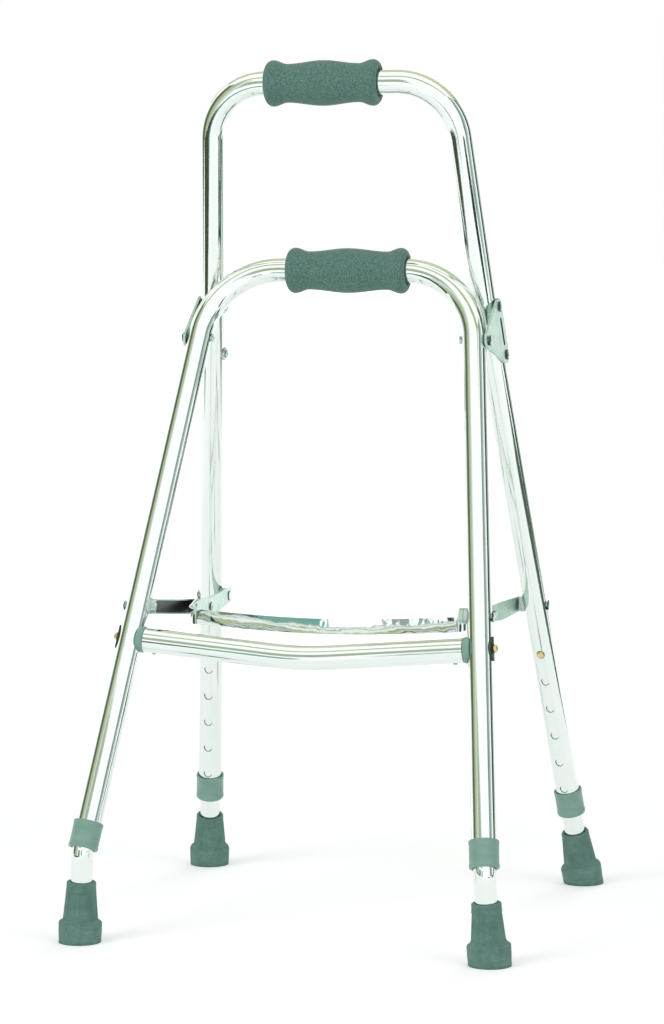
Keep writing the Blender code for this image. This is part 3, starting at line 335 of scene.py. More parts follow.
def place(obj: bpy.types.Object, placing: Matrix) -> bpy.types.Object:
    """Put an object at a place and move that place into its mesh."""
    obj.matrix_world = placing
    select_only(obj)
    bpy.ops.object.transform_apply(location=True, rotation=True, scale=True)
    return obj


def face_out(obj: bpy.types.Object) -> bpy.types.Object:
    """Merge an object's doubles and turn its faces outwards."""
    with editing(obj):
        bpy.ops.mesh.remove_doubles(threshold=TINY)
        bpy.ops.mesh.normals_make_consistent(inside=False)
    return obj


def smooth(obj: bpy.types.Object, angle: float = SHARP) -> bpy.types.Object:
    """Shade an object smooth, apart from its sharp edges."""
    select_only(obj)
    bpy.ops.object.shade_smooth_by_angle(angle=angle)
    return obj


def soften(obj: bpy.types.Object, width: float) -> bpy.types.Object:
    """Break an object's sharp edges by a small width."""
    bevel = obj.modifiers.new("edge", "BEVEL")
    bevel.width = width
    bevel.segments = 1
    bevel.limit_method = "ANGLE"
    bevel.angle_limit = SHARP
    bevel.harden_normals = False
    apply_modifiers(obj)
    return smooth(obj)


def combine(obj: bpy.types.Object, others: Sequence[bpy.types.Object], operation: str) -> bpy.types.Object:
    """Cut others from an object or fuse them to it, and remove them.

    Args:
        obj: the object that stays.
        others: closed meshes.
        operation: DIFFERENCE, UNION or INTERSECT.

    Returns:
        The object that stays.
    """
    for other in others:
        boolean = obj.modifiers.new("shape", "BOOLEAN")
        boolean.operation = operation
        boolean.solver = "EXACT"
        boolean.object = other
        apply_modifiers(obj)
        bpy.data.objects.remove(other, do_unlink=True)
    return obj


def join(name: str, pieces: Sequence[bpy.types.Object]) -> bpy.types.Object:
    """Join several objects into the first and rename it."""
    bpy.ops.object.select_all(action="DESELECT")
    for piece in pieces:
        piece.select_set(True)
    bpy.context.view_layer.objects.active = pieces[0]
    if len(pieces) > 1:
        bpy.ops.object.join()
    pieces[0].name = name
    return pieces[0]


def circle(name: str, radius: float, sides: int, placing: Matrix, fill: str = "NOTHING") -> bpy.types.Object:
    """Add a circle at a place and apply that place."""
    bpy.ops.object.select_all(action="DESELECT")
    bpy.ops.mesh.primitive_circle_add(vertices=sides, radius=radius, fill_type=fill)
    made = bpy.context.object
    made.name = name
    return place(made, placing)


def cylinder(name: str, radius: float, start: Vector, end: Vector, sides: int = HOLE_SIDES) -> bpy.types.Object:
    """Add a plain cylinder between two points, as a cutter or as the corner of a plate."""
    bpy.ops.object.select_all(action="DESELECT")
    bpy.ops.mesh.primitive_cylinder_add(vertices=sides, radius=radius, depth=(end - start).length)
    made = bpy.context.object
    made.name = name
    return place(made, aimed((start + end) / 2, end - start))


def block(name: str, low: Vector, high: Vector) -> bpy.types.Object:
    """Add a box between two corners."""
    bpy.ops.object.select_all(action="DESELECT")
    bpy.ops.mesh.primitive_cube_add(size=1.0)
    made = bpy.context.object
    made.name = name
    size = high - low
    return place(made, Matrix.Translation((low + high) / 2) @ Matrix.Diagonal((*size, 1.0)))


def hull(name: str, pieces: Sequence[bpy.types.Object]) -> bpy.types.Object:
    """Wrap several solids in one tight plate or block."""
    made = join(name, pieces)
    with editing(made):
        bpy.ops.mesh.convex_hull()
        bpy.ops.mesh.select_all(action="SELECT")
        bpy.ops.mesh.dissolve_limited(angle_limit=math.radians(0.5))
        bpy.ops.mesh.normals_make_consistent(inside=False)
    return made


def extrude(step: Vector) -> None:
    """Extrude what is selected in edit mode by a step."""
    bpy.ops.mesh.extrude_region_move(TRANSFORM_OT_translate={"value": tuple(step)})


def turned(name: str, profile: Profile, placing: Matrix, sides: int = TURNED_SIDES) -> bpy.types.Object:
    """Turn a piece: a circle, extruded and scaled along the stations of a profile.

    Args:
        name: the object's name.
        profile: (radius, height) stations. One that starts and ends on the axis closes there, and one whose last
            station is its first closes into a ring.
        placing: where the piece's foot and axis stand.
        sides: the number of facets round it.

    Returns:
        The closed mesh, facing outwards.
    """
    on_axis = profile[0][0] == 0.0
    radius, height = profile[1] if on_axis else profile[0]
    made = circle(name, radius, sides, Matrix.Translation((0.0, 0.0, height)), "TRIFAN" if on_axis else "NOTHING")
    with editing(made):
        if on_axis:
            pick(made, lambda co: co.to_2d().length < TINY)
            bpy.ops.transform.translate(value=(0.0, 0.0, profile[0][1] - height))
            pick(made, lambda co: co.to_2d().length > TINY)
        for wide, high in profile[2:] if on_axis else profile[1:]:
            extrude(Vector((0.0, 0.0, high - height)))
            if wide == 0.0:
                bpy.ops.mesh.merge(type="CENTER")
            else:
                grow = wide / radius
                bpy.ops.transform.resize(value=(grow, grow, 1.0), center_override=(0.0, 0.0, high))
            radius, height = wide, high
    return place(face_out(made), placing)


def follow(turns: Sequence[Turn]) -> None:
    """Carry the loop that is selected in edit mode along a line: straight runs extruded, bends spun."""
    here = turns[0].point
    for before, turn, after in zip(turns, turns[1:], turns[2:]):
        heading = (turn.point - before.point).normalized()
        leaving = (after.point - turn.point).normalized()
        angle = heading.angle(leaving)
        if turn.radius == 0.0 or angle < TINY:
            extrude(turn.point - here)
            here = turn.point
            continue
        tangent = turn.radius * math.tan(angle / 2)
        begin = turn.point - heading * tangent
        extrude(begin - here)
        axis = heading.cross(leaving).normalized()
        centre = begin + axis.cross(heading) * turn.radius
        steps = max(2, math.ceil(angle / BEND_STEP))
        bpy.ops.mesh.spin(steps=steps, angle=-angle, center=centre, axis=axis)
        here = turn.point + leaving * tangent
    extrude(turns[-1].point - here)


def bent_tube(name: str, turns: Sequence[Turn], radius: float, wall: float) -> bpy.types.Object:
    """Make a tube along a bent centre line, with its bore and its ends cut square.

    Args:
        name: the object's name.
        turns: the centre line.
        radius: the outer radius.
        wall: the thickness of the tube's wall.

    Returns:
        The tube.
    """
    heading = turns[1].point - turns[0].point
    made = circle(name, radius, TUBE_SIDES, aimed(turns[0].point, heading))
    with editing(made):
        follow(turns)
    face_out(made)
    skin = made.modifiers.new("wall", "SOLIDIFY")
    skin.thickness = wall
    skin.offset = -1.0
    skin.use_even_offset = True
    apply_modifiers(made)
    return made


def bar(name: str, turns: Sequence[Turn], radius: float) -> bpy.types.Object:
    """Make a solid bar along a line, to cut the saddle of a piece that fits round a tube."""
    made = circle(name, radius, TUBE_SIDES, aimed(turns[0].point, turns[1].point - turns[0].point))
    with editing(made):
        follow(turns)
        bpy.ops.mesh.select_all(action="SELECT")
        bpy.ops.mesh.fill_holes(sides=0)
    return face_out(made)


def ribbon(name: str, points: Sequence[Vector], across: Vector, width: float, thickness: float) -> bpy.types.Object:
    """Make a flat strip that follows a line and keeps one direction across it.

    Args:
        name: the object's name.
        points: the centre line.
        across: the direction of the strip's width.
        width: the width.
        thickness: the thickness, half to each side of the line.

    Returns:
        The strip.
    """
    bpy.ops.object.select_all(action="DESELECT")
    bpy.ops.mesh.primitive_plane_add(size=1.0)
    made = bpy.context.object
    made.name = name
    with editing(made):
        pick(made, lambda co: co.x < 0.0)
        bpy.ops.mesh.delete(type="VERT")
    ends = [points[0] - across * width / 2, points[0] + across * width / 2]
    for vertex, end in zip(made.data.vertices, ends):
        vertex.co = end
    with editing(made):
        for before, after in zip(points, points[1:]):
            extrude(after - before)
    face_out(made)
    skin = made.modifiers.new("gauge", "SOLIDIFY")
    skin.thickness = thickness
    skin.offset = 0.0
    skin.use_even_offset = True
    apply_modifiers(made)
    return made


def dome(radius: float, height: float, base: float, steps: int = 8) -> list[tuple[float, float]]:
    """Return the stations of a shallow domed head, from its rim up to the axis."""
    edge = height * 0.28
    stations = [(radius, base), (radius, base + edge * 0.6)]
    rise = height - edge * 0.6
    for number in range(1, steps):
        angle = math.pi / 2 * number / steps
        stations.append((radius * math.cos(angle), base + edge * 0.6 + rise * math.sin(angle)))
    stations.append((0.0, base + height))
    return stations


def left_of(name: str, right: bpy.types.Object) -> bpy.types.Object:
    """Return the left-hand copy of a right-hand piece, with its own mesh and its place applied."""
    made = right.copy()
    made.data = right.data.copy()
    made.name = name
    bpy.context.scene.collection.objects.link(made)
    made.matrix_world = MIRROR
    select_only(made)
    bpy.ops.object.transform_apply(location=True, rotation=True, scale=True)
    with editing(made):
        bpy.ops.mesh.normals_make_consistent(inside=False)
    return made


def lay_grain(obj: bpy.types.Object, turns: Sequence[Turn]) -> bpy.types.Object:
    """Store each vertex's place in the straightened piece: two distances across the line and one along it.

    Args:
        obj: a finished piece.
        turns: the centre line that it follows.

    Returns:
        The same piece.
    """
    points = rounded(turns)
    count = len(obj.data.vertices)
    flat = np.empty(count * 3, np.float32)
    obj.data.vertices.foreach_get("co", flat)
    places = flat.reshape(-1, 3).astype(float)
    nearest = np.full(count, np.inf)
    grain = np.zeros((count, 3), np.float32)
    across = (points[1] - points[0]).orthogonal().normalized()
    heading = (points[1] - points[0]).normalized()
    run = 0.0
    for start, end in zip(points, points[1:]):
        length = (end - start).length
        if length < TINY:
            continue
        ahead = (end - start) / length
        across = (heading.rotation_difference(ahead) @ across).normalized()
        heading = ahead
        side = heading.cross(across)
        offset = places - np.array(start)
        along = np.clip(offset @ np.array(heading), 0.0, length)
        apart = offset - along[:, None] * np.array(heading)
        distance = (apart**2).sum(axis=1)
        closer = distance < nearest
        nearest[closer] = distance[closer]
        grain[closer, 0] = (apart @ np.array(across))[closer]
        grain[closer, 1] = (apart @ np.array(side))[closer]
        grain[closer, 2] = (run + along)[closer]
        run += length
    obj.data.attributes.new(GRAIN, "FLOAT_VECTOR", "POINT").data.foreach_set("vector", grain.ravel())
    return obj


# Shader maths


class Sock:
    """An output socket that takes arithmetic: every operator adds a Math node."""

    def __init__(self, tree: bpy.types.NodeTree, socket: bpy.types.NodeSocket) -> None:
        """Wrap a socket of a tree."""
        self.tree = tree
        self.socket = socket

    def math(self, operation: str, first: Number, second: Number = 0.0, clamp: bool = False) -> "Sock":
        """Add a Math node on two values or sockets."""
        node = self.tree.nodes.new("ShaderNodeMath")
        node.operation = operation
        node.use_clamp = clamp
        for slot, value in zip(node.inputs, (first, second)):
            if isinstance(value, Sock):
                self.tree.links.new(value.socket, slot)
            else:
                slot.default_value = value
        return Sock(self.tree, node.outputs[0])

    def __add__(self, other: Number) -> "Sock":
        """Return self + other."""
        return self.math("ADD", self, other)

    __radd__ = __add__

    def __mul__(self, other: Number) -> "Sock":
        """Return self * other."""
        return self.math("MULTIPLY", self, other)

    __rmul__ = __mul__

    def __sub__(self, other: Number) -> "Sock":
        """Return self - other."""
        return self.math("SUBTRACT", self, other)

    def __rsub__(self, other: Number) -> "Sock":
        """Return other - self."""
        return self.math("SUBTRACT", other, self)

    def clamp(self) -> "Sock":
        """Return self held between 0 and 1."""
        return self.math("ADD", self, 0.0, clamp=True)

    def above(self, edge: float, width: float) -> "Sock":
        """Return 0 below an edge, 1 above it and a slope of a width between."""
        return self.math("MULTIPLY", self - (edge - width / 2), 1.0 / width, clamp=True)


class Paint:
    """One material under construction, with its Principled shader."""

    def __init__(self, name: str) -> None:
        """Add the material."""
        self.material = bpy.data.materials.new(name)
        self.material.use_nodes = True
        self.tree = self.material.node_tree
        self.shader = self.tree.nodes["Principled BSDF"]

    def node(self, kind: str, settings: dict[str, object], inputs: dict[object, object], output: object = 0) -> Sock:
        """Add any node.

        Args:
            kind: the node's type.
            settings: its own settings, or a ramp's stops, set first.
            inputs: values or links by socket name or number.
            output: the socket to return, by name or number.

        Returns:
            That socket.
        """
        node = self.tree.nodes.new(kind)
        for key, value in settings.items():
            if key == "stops":
                for number, (spot, color) in enumerate(value):
                    stop = node.color_ramp.elements[number] if number < 2 else node.color_ramp.elements.new(spot)
                    stop.position, stop.color = spot, (*color, 1.0)
            else:
                setattr(node, key, value)
        for key, value in inputs.items():
            self.feed(node, key, value)
        return Sock(self.tree, node.outputs[output])

    def feed(self, node: bpy.types.Node, key: object, value: object) -> None:
        """Link or set one input of a node."""
        if isinstance(value, Sock):
            self.tree.links.new(value.socket, node.inputs[key])
        else:
            node.inputs[key].default_value = value

    def surface(self, **inputs: object) -> bpy.types.Material:
        """Set the shader's inputs, with underscores for spaces, and return the material."""
        for key, value in inputs.items():
            if isinstance(value, tuple) and len(value) == 3:
                value = (*value, 1.0)
            self.feed(self.shader, key.replace("_", " "), value)
        return self.material

    def spot(self) -> Sock:
        """Return the Object coordinates."""
        return self.node("ShaderNodeTexCoord", {}, {}, "Object")

    def grain(self) -> Sock:
        """Return the place along and across the straightened tube."""
        return self.node("ShaderNodeAttribute", {"attribute_name": GRAIN}, {}, "Vector")

    def stretched(self, vector: Sock, scale: tuple[float, float, float]) -> Sock:
        """Return a vector scaled by three factors."""
        return self.node("ShaderNodeVectorMath", {"operation": "MULTIPLY"}, {0: vector, 1: scale})

    def noise(self, vector: Sock, scale: float, detail: float = 2.0, roughness: float = 0.5) -> Sock:
        """Return a noise value."""
        inputs = {"Vector": vector, "Scale": scale, "Detail": detail, "Roughness": roughness}
        return self.node("ShaderNodeTexNoise", {}, inputs, "Fac")

    def cells(self, vector: Sock, scale: float) -> Sock:
        """Return the distance to the nearest of a scatter of points."""
        return self.node("ShaderNodeTexVoronoi", {}, {"Vector": vector, "Scale": scale}, "Distance")

    def mix(self, factor: Number, first: tuple, second: tuple) -> Sock:
        """Return a mix of two colours."""
        settings = {"data_type": "RGBA"}
        ends = [value if isinstance(value, Sock) else (*value, 1.0) for value in (first, second)]
        return self.node("ShaderNodeMix", settings, {0: factor, 6: ends[0], 7: ends[1]}, 2)

    def bump(self, height: Sock, strength: float, distance: float) -> Sock:
        """Return a normal bent by a height."""
        inputs = {"Height": height, "Strength": strength, "Distance": distance}
        return self.node("ShaderNodeBump", {}, inputs, "Normal")


# Finishes

Color = tuple[float, float, float]


@dataclass(frozen=True)
class DrawnMetal:
    """Drawn tube, polished and bright-dipped: fine lines along it, handling haze and a few light scuffs."""

    name: str = "bright_tube"
    color: Color = (0.88, 0.92, 0.90)
    dull: Color = (0.78, 0.83, 0.80)
    roughness: float = 0.035

    def material(self) -> bpy.types.Material:
        """Return the material."""
        paint = Paint(self.name)
        grain = paint.grain()
        lines = paint.noise(paint.stretched(grain, (2600.0, 2600.0, 9.0)), 1.0, 3.0)
        haze = paint.noise(paint.stretched(grain, (60.0, 60.0, 22.0)), 1.0, 4.0, 0.6)
        ripple = paint.noise(paint.stretched(grain, (120.0, 120.0, 30.0)), 1.0, 1.0)
        scuffs = paint.noise(paint.stretched(grain, (340.0, 340.0, 1500.0)), 1.0, 1.0).above(0.72, 0.06)
        worn = scuffs * haze.above(0.52, 0.2)
        tone = (haze.above(0.5, 0.5) * 0.5 + lines * 0.3).clamp()
        rough = haze * 0.04 + lines * 0.025 + worn * 0.12 + self.roughness
        height = lines * 0.5 + ripple * 0.7 - worn * 0.25
        return paint.surface(
            Base_Color=paint.mix(tone, self.color, self.dull),
            Metallic=1.0,
            Roughness=rough,
            Normal=paint.bump(height, 0.10, 0.0004),
        )


@dataclass(frozen=True)
class RolledSteel:
    """Sheet steel with a satin zinc plate: rolling lines and a mottled bloom."""

    name: str = "zinc_plate"
    color: Color = (0.63, 0.80, 0.72)
    bloom: Color = (0.41, 0.55, 0.485)
    roughness: float = 0.21
    lines: Color = (30.0, 700.0, 700.0)

    def material(self) -> bpy.types.Material:
        """Return the material."""
        paint = Paint(self.name)
        spot = paint.spot()
        rolled = paint.noise(paint.stretched(spot, self.lines), 1.0, 3.0)
        mottle = paint.noise(spot, 130.0, 4.0, 0.65)
        crystal = paint.cells(spot, 900.0)
        tone = (mottle.above(0.5, 0.35) * 0.6 + crystal * 0.4).clamp()
        rough = mottle * 0.14 + rolled * 0.08 + self.roughness
        return paint.surface(
            Base_Color=paint.mix(tone, self.color, self.bloom),
            Metallic=1.0,
            Roughness=rough,
            Normal=paint.bump(rolled * 0.5 + crystal * 0.5, 0.16, 0.0002),
        )


@dataclass(frozen=True)
class MirrorStrip:
    """Polished strip, mirror bright, with the slow waves that rolling and bending leave in it."""

    name: str = "mirror_strip"
    color: Color = (0.80, 0.85, 0.83)

    def material(self) -> bpy.types.Material:
        """Return the material."""
        paint = Paint(self.name)
        spot = paint.spot()
        waves = paint.noise(paint.stretched(spot, (38.0, 38.0, 60.0)), 1.0, 1.5)
        kinks = paint.noise(paint.stretched(spot, (150.0, 150.0, 90.0)), 1.0, 1.0)
        wipe = paint.noise(paint.stretched(spot, (24.0, 24.0, 900.0)), 1.0, 3.0)
        rough = wipe * 0.05 + 0.02
        return paint.surface(
            Base_Color=paint.mix(wipe.above(0.6, 0.3) * 0.5, self.color, (0.62, 0.68, 0.66)),
            Metallic=1.0,
            Roughness=rough,
            Normal=paint.bump(waves + kinks * 0.25, 0.10, 0.003),
        )


@dataclass(frozen=True)
class Plated:
    """A small plated or bare metal part: tool marks and a light tarnish; the dark faces at the foot of some heads are
    painted shade, given as a separate finish.
    """

    name: str
    color: Color
    tarnish: Color
    roughness: float
    tarnished: float = 0.5

    def material(self) -> bpy.types.Material:
        """Return the material."""
        paint = Paint(self.name)
        spot = paint.spot()
        marks = paint.noise(spot, 2200.0, 3.0)
        cloud = paint.noise(spot, 320.0, 3.0, 0.6)
        tone = cloud.above(0.5, 0.4) * self.tarnished
        return paint.surface(
            Base_Color=paint.mix(tone, self.color, self.tarnish),
            Metallic=1.0,
            Roughness=cloud * 0.16 + marks * 0.08 + self.roughness,
            Normal=paint.bump(marks * 0.6 + cloud * 0.4, 0.18, 0.0002),
        )


@dataclass(frozen=True)
class Moulded:
    """Moulded plastic: a fine spark-eroded skin and faint flow lines."""

    name: str
    color: Color
    pale: Color
    roughness: float
    coat: float = 0.0

    def material(self) -> bpy.types.Material:
        """Return the material."""
        paint = Paint(self.name)
        spot = paint.spot()
        skin = paint.noise(spot, 1500.0, 2.0)
        flow = paint.noise(paint.stretched(spot, (60.0, 60.0, 160.0)), 1.0, 3.0, 0.6)
        tone = (flow.above(0.5, 0.5) * 0.6 + skin * 0.25).clamp()
        return paint.surface(
            Base_Color=paint.mix(tone, self.color, self.pale),
            Roughness=flow * 0.12 + skin * 0.10 + self.roughness,
            Coat_Weight=self.coat,
            Normal=paint.bump(skin * 0.7 + flow * 0.3, 0.22, 0.0003),
        )


@dataclass(frozen=True)
class Foam:
    """Closed-cell foam: light and dark grains over a skin of fine open cells."""

    name: str = "grip_foam"
    color: Color = (0.094, 0.212, 0.176)
    dark: Color = (0.040, 0.104, 0.084)
    pale: Color = (0.178, 0.345, 0.288)
    roughness: float = 0.78
    grain_size: float = 0.0016

    def material(self) -> bpy.types.Material:
        """Return the material."""
        paint = Paint(self.name)
        spot = paint.spot()
        grains = paint.noise(spot, 1.0 / self.grain_size, 3.0, 0.7)
        fine = paint.noise(spot, 2.6 / self.grain_size, 2.0, 0.6)
        pits = paint.cells(spot, 1.5 / self.grain_size)
        worn = paint.noise(spot, 45.0, 3.0)
        speckle = (grains * 0.65 + fine * 0.35).above(0.5, 0.24)
        base = paint.mix(speckle, self.dark, self.pale)
        even = paint.mix(worn * 0.2 + 0.14, base, self.color)
        height = pits * 0.5 + grains * 0.6 + fine * 0.3
        return paint.surface(
            Base_Color=even,
            Roughness=fine * 0.15 + self.roughness,
            Sheen_Weight=0.12,
            Sheen_Roughness=0.6,
            Normal=paint.bump(height, 0.5, 0.0006),
        )


@dataclass(frozen=True)
class TipRubber:
    """Moulded rubber: a chalky bloom, fine grit and scuffed, dusty edges near the floor."""

    name: str = "tip_rubber"
    color: Color = (0.078, 0.182, 0.150)
    pale: Color = (0.215, 0.385, 0.330)
    roughness: float = 0.62
    dust_height: float = 0.022

    def material(self) -> bpy.types.Material:
        """Return the material."""
        paint = Paint(self.name)
        spot = paint.spot()
        height = paint.node("ShaderNodeSeparateXYZ", {}, {0: spot}, "Z")
        bloom = paint.noise(spot, 90.0, 5.0, 0.65)
        grit = paint.noise(spot, 1400.0, 3.0, 0.6)
        rubs = paint.noise(paint.stretched(spot, (240.0, 240.0, 900.0)), 1.0, 3.0)
        low = 1.0 - height.above(self.dust_height, self.dust_height)
        tone = (bloom.above(0.5, 0.3) * 0.42 + grit.above(0.5, 0.3) * 0.22 + low * rubs.above(0.45, 0.3) * 0.25).clamp()
        return paint.surface(
            Base_Color=paint.mix(tone, self.color, self.pale),
            Roughness=bloom * 0.18 + grit * 0.08 + self.roughness,
            Normal=paint.bump(grit * 0.6 + bloom * 0.5 + rubs * 0.2, 0.35, 0.0005),
        )


Finishes = dict[Slot, bpy.types.Material]


def make_finishes() -> Finishes:
    """Return one material for each slot."""
    zinc = Plated("zinc_rivet", (0.68, 0.79, 0.74), (0.30, 0.38, 0.35), 0.08, 0.7)
    # The dark finish serves the real dark saddle washers and also stands as painted shade in slot walls, channel
    # insides and at the foot of fastener heads.
    dark = Plated("black_washer", (0.050, 0.056, 0.052), (0.16, 0.17, 0.16), 0.24)
    brass = Plated("brass_button", (0.84, 0.70, 0.34), (0.42, 0.31, 0.14), 0.11, 0.6)
    grey = Moulded("grey_moulding", (0.195, 0.365, 0.300), (0.295, 0.495, 0.42), 0.34, 0.15)
    pale = Moulded("pale_moulding", (0.55, 0.68, 0.62), (0.68, 0.79, 0.74), 0.32, 0.1)
    finishes = {
        Slot.TUBE: DrawnMetal(),
        Slot.PLATE: RolledSteel(),
        Slot.STRIP: MirrorStrip(),
        Slot.ZINC: zinc,
        Slot.DARK: dark,
        Slot.BRASS: brass,
        Slot.GREY_PLASTIC: grey,
        Slot.PALE_PLASTIC: pale,
        Slot.FOAM: Foam(),
        Slot.RUBBER: TipRubber(),
    }
    return {slot: finish.material() for slot, finish in finishes.items()}


@dataclass
class Assembly:
    """What every sub-assembly shares: its finishes and the list of what it has made."""

    finishes: Finishes
    made: list[str] = field(default_factory=list, init=False)

    def hand_over(self, obj: bpy.types.Object, slot: Slot, body: str, *nodes: str) -> bpy.types.Object:
        """Give a piece the finish of its slot unless it has one already, put it on its body, hide the nodes that it
        stands for and list it as made.

        Args:
            obj: the finished piece.
            slot: the record's material slot, which gives its finish.
            body: the body that it rides on.
            nodes: the CAD nodes that it replaces.

        Returns:
            The same piece.
        """
        if not obj.data.materials:
            obj.data.materials.append(self.finishes[slot])
        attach(obj, body)
        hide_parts(*nodes)
        self.made.append(obj.name)
        return obj

    def line_inside(self, obj: bpy.types.Object, slot: Slot, test: FaceTest) -> bpy.types.Object:
        """Give a piece the finish of a slot, and the faces whose centre and normal pass a test the dark finish, as
        painted shade.
        """
        obj.data.materials.append(self.finishes[slot])
        obj.data.materials.append(self.finishes[Slot.DARK])
        with editing(obj):
            pick_faces(obj, test)
            obj.active_material_index = 1
            bpy.ops.object.material_slot_assign()
        return obj

    def pair(self, right: bpy.types.Object, slot: Slot, body: Callable[[Side], str], node: str) -> None:
        """Hand over a right-hand piece and its left-hand copy.

        Args:
            right: the right-hand piece.
            slot: their slot.
            body: gives the body for a side.
            node: the CAD node's name, with {} for the side.
        """
        stem = right.name
        left = left_of(stem + "_left", right)
        right.name = stem + "_right"
        for side, obj in ((Side.RIGHT, right), (Side.LEFT, left)):
            self.hand_over(obj, slot, body(side), node.format(side.word))


def fixed(body: str) -> Callable[[Side], str]:
    """Return a rule that names the same body for both sides."""
    return lambda side: body


# Rivets and bolts


@dataclass(frozen=True)
class Fastener:
    """A rivet or bolt: a domed head, its shank and a rolled or plain foot."""

    head_radius: float
    head_height: float
    shank_radius: float
    foot_radius: float
    foot_height: float
    hollow: float = 0.45

    def build(self, name: str, seat: Vector, out: Vector, length: float) -> bpy.types.Object:
        """Make the fastener.

        Args:
            name: the object's name.
            seat: the point under the middle of its head.
            out: the direction that its head faces.
            length: from under the head to the foot's inner side.

        Returns:
            The fastener.
        """
        head = dome(self.head_radius, self.head_height, 0.0)
        dimple = self.foot_radius * self.hollow
        low = -length - self.foot_height
        foot = [
            (0.0, low + self.foot_height * 0.7),
            (dimple * 0.8, low + self.foot_height * 0.6),
            (dimple, low + self.foot_height * 0.15),
            (dimple * 1.2, low),
            (self.foot_radius * 0.88, low + self.foot_height * 0.12),
            (self.foot_radius, low + self.foot_height * 0.5),
            (self.foot_radius * 0.97, -length),
            (self.shank_radius, -length),
            (self.shank_radius, 0.0),
        ]
        return smooth(turned(name, foot + head, aimed(seat, out)))

    def rim(self, seat: Vector, out: Vector) -> FaceTest:
        """Return the test for the low faces of its head, which get the dark finish as painted shade.

        Args:
            seat: the point under the middle of its head.
            out: the direction that its head faces.

        Returns:
            A test on a face's centre and normal.
        """

        def at_rim(co: Vector, normal: Vector) -> bool:
            """Tell the low faces of the head, which get painted shade."""
            rise = (co - seat).dot(out)
            aside = (co - seat - out * rise).length
            return 0.0 < rise < self.head_height * 0.6 and aside > self.head_radius * 0.85

        return at_rim


RIVET = Fastener(0.0047, 0.0018, 0.0025, 0.0040, 0.0014)


def washer(name: str, radius: float, near: float, far: float, placing: Matrix, bore: float) -> bpy.types.Object:
    """Make a washer or spacer between two heights on its axis, with its edges broken."""
    edge = min(0.0003, (far - near) * 0.3)
    profile = [
        (bore, near),
        (radius - edge, near),
        (radius, near + edge),
        (radius, far - edge),
        (radius - edge, far),
        (bore + edge, far),
        (bore, far - edge),
        (bore, near),
    ]
    return turned(name, profile, placing)


# Frames


def saddle_bar(line: Line, centre: Vector, radius: float, reach: float = 0.02) -> bpy.types.Object:
    """Return a bar along a leg, either way from a point, to cut what fits round the leg."""
    return bar("leg_bar", [Turn(line.along(centre, step)) for step in (-reach, 0.0, reach)], radius)


def hole_stops(centres: Sequence[Vector], line: Line, reach: float) -> list[Turn]:
    """Return stops in a straight run just below and above each hole, so that its facets stay short."""
    stops = []
    for centre in centres:
        stops.append(Turn(line.along(centre, -reach)))
        stops.append(Turn(line.along(centre, reach)))
    return sorted(stops, key=lambda stop: stop.point.z)


@dataclass(frozen=True)
class ButtonRow:
    """The row of holes in a leg and the snap button that stands in the top one."""

    leg: Line
    towards: float
    height: float
    pitch: float = 0.028
    below: int = 5
    radius: float = 0.0036
    turn: float = 5.0

    @property
    def facing(self) -> Vector:
        """The way that the button faces."""
        facing = Vector((0.0, self.towards, 0.0))
        facing = (facing - self.leg.direction * facing.dot(self.leg.direction)).normalized()
        return Matrix.Rotation(self.towards * math.radians(self.turn), 3, self.leg.direction) @ facing

    @property
    def centres(self) -> list[Vector]:
        """The points of the leg's line behind each hole, from the lowest."""
        top = self.leg.at(self.height)
        return [self.leg.along(top, -self.pitch * number) for number in range(self.below, -1, -1)]

    def cutters(self, inner: float, outer: float) -> list[bpy.types.Object]:
        """Return the drills for the row, through the wall that the button faces."""
        reach = self.radius + STOCK.bore_play
        return [
            cylinder("row_drill", reach, centre + self.facing * inner, centre + self.facing * outer)
            for centre in self.centres
        ]


REAR_ROW = ButtonRow(LEGS.rear, -1.0, 0.2330)
FRONT_ROW = ButtonRow(LEGS.front, 1.0, 0.2400)


def mirrored_turns(right: Sequence[Turn]) -> list[Turn]:
    """Return a right-hand line followed by its mirror image, which runs back down the left."""
    return list(right) + [Turn(MIRROR @ turn.point, turn.radius) for turn in reversed(right)]


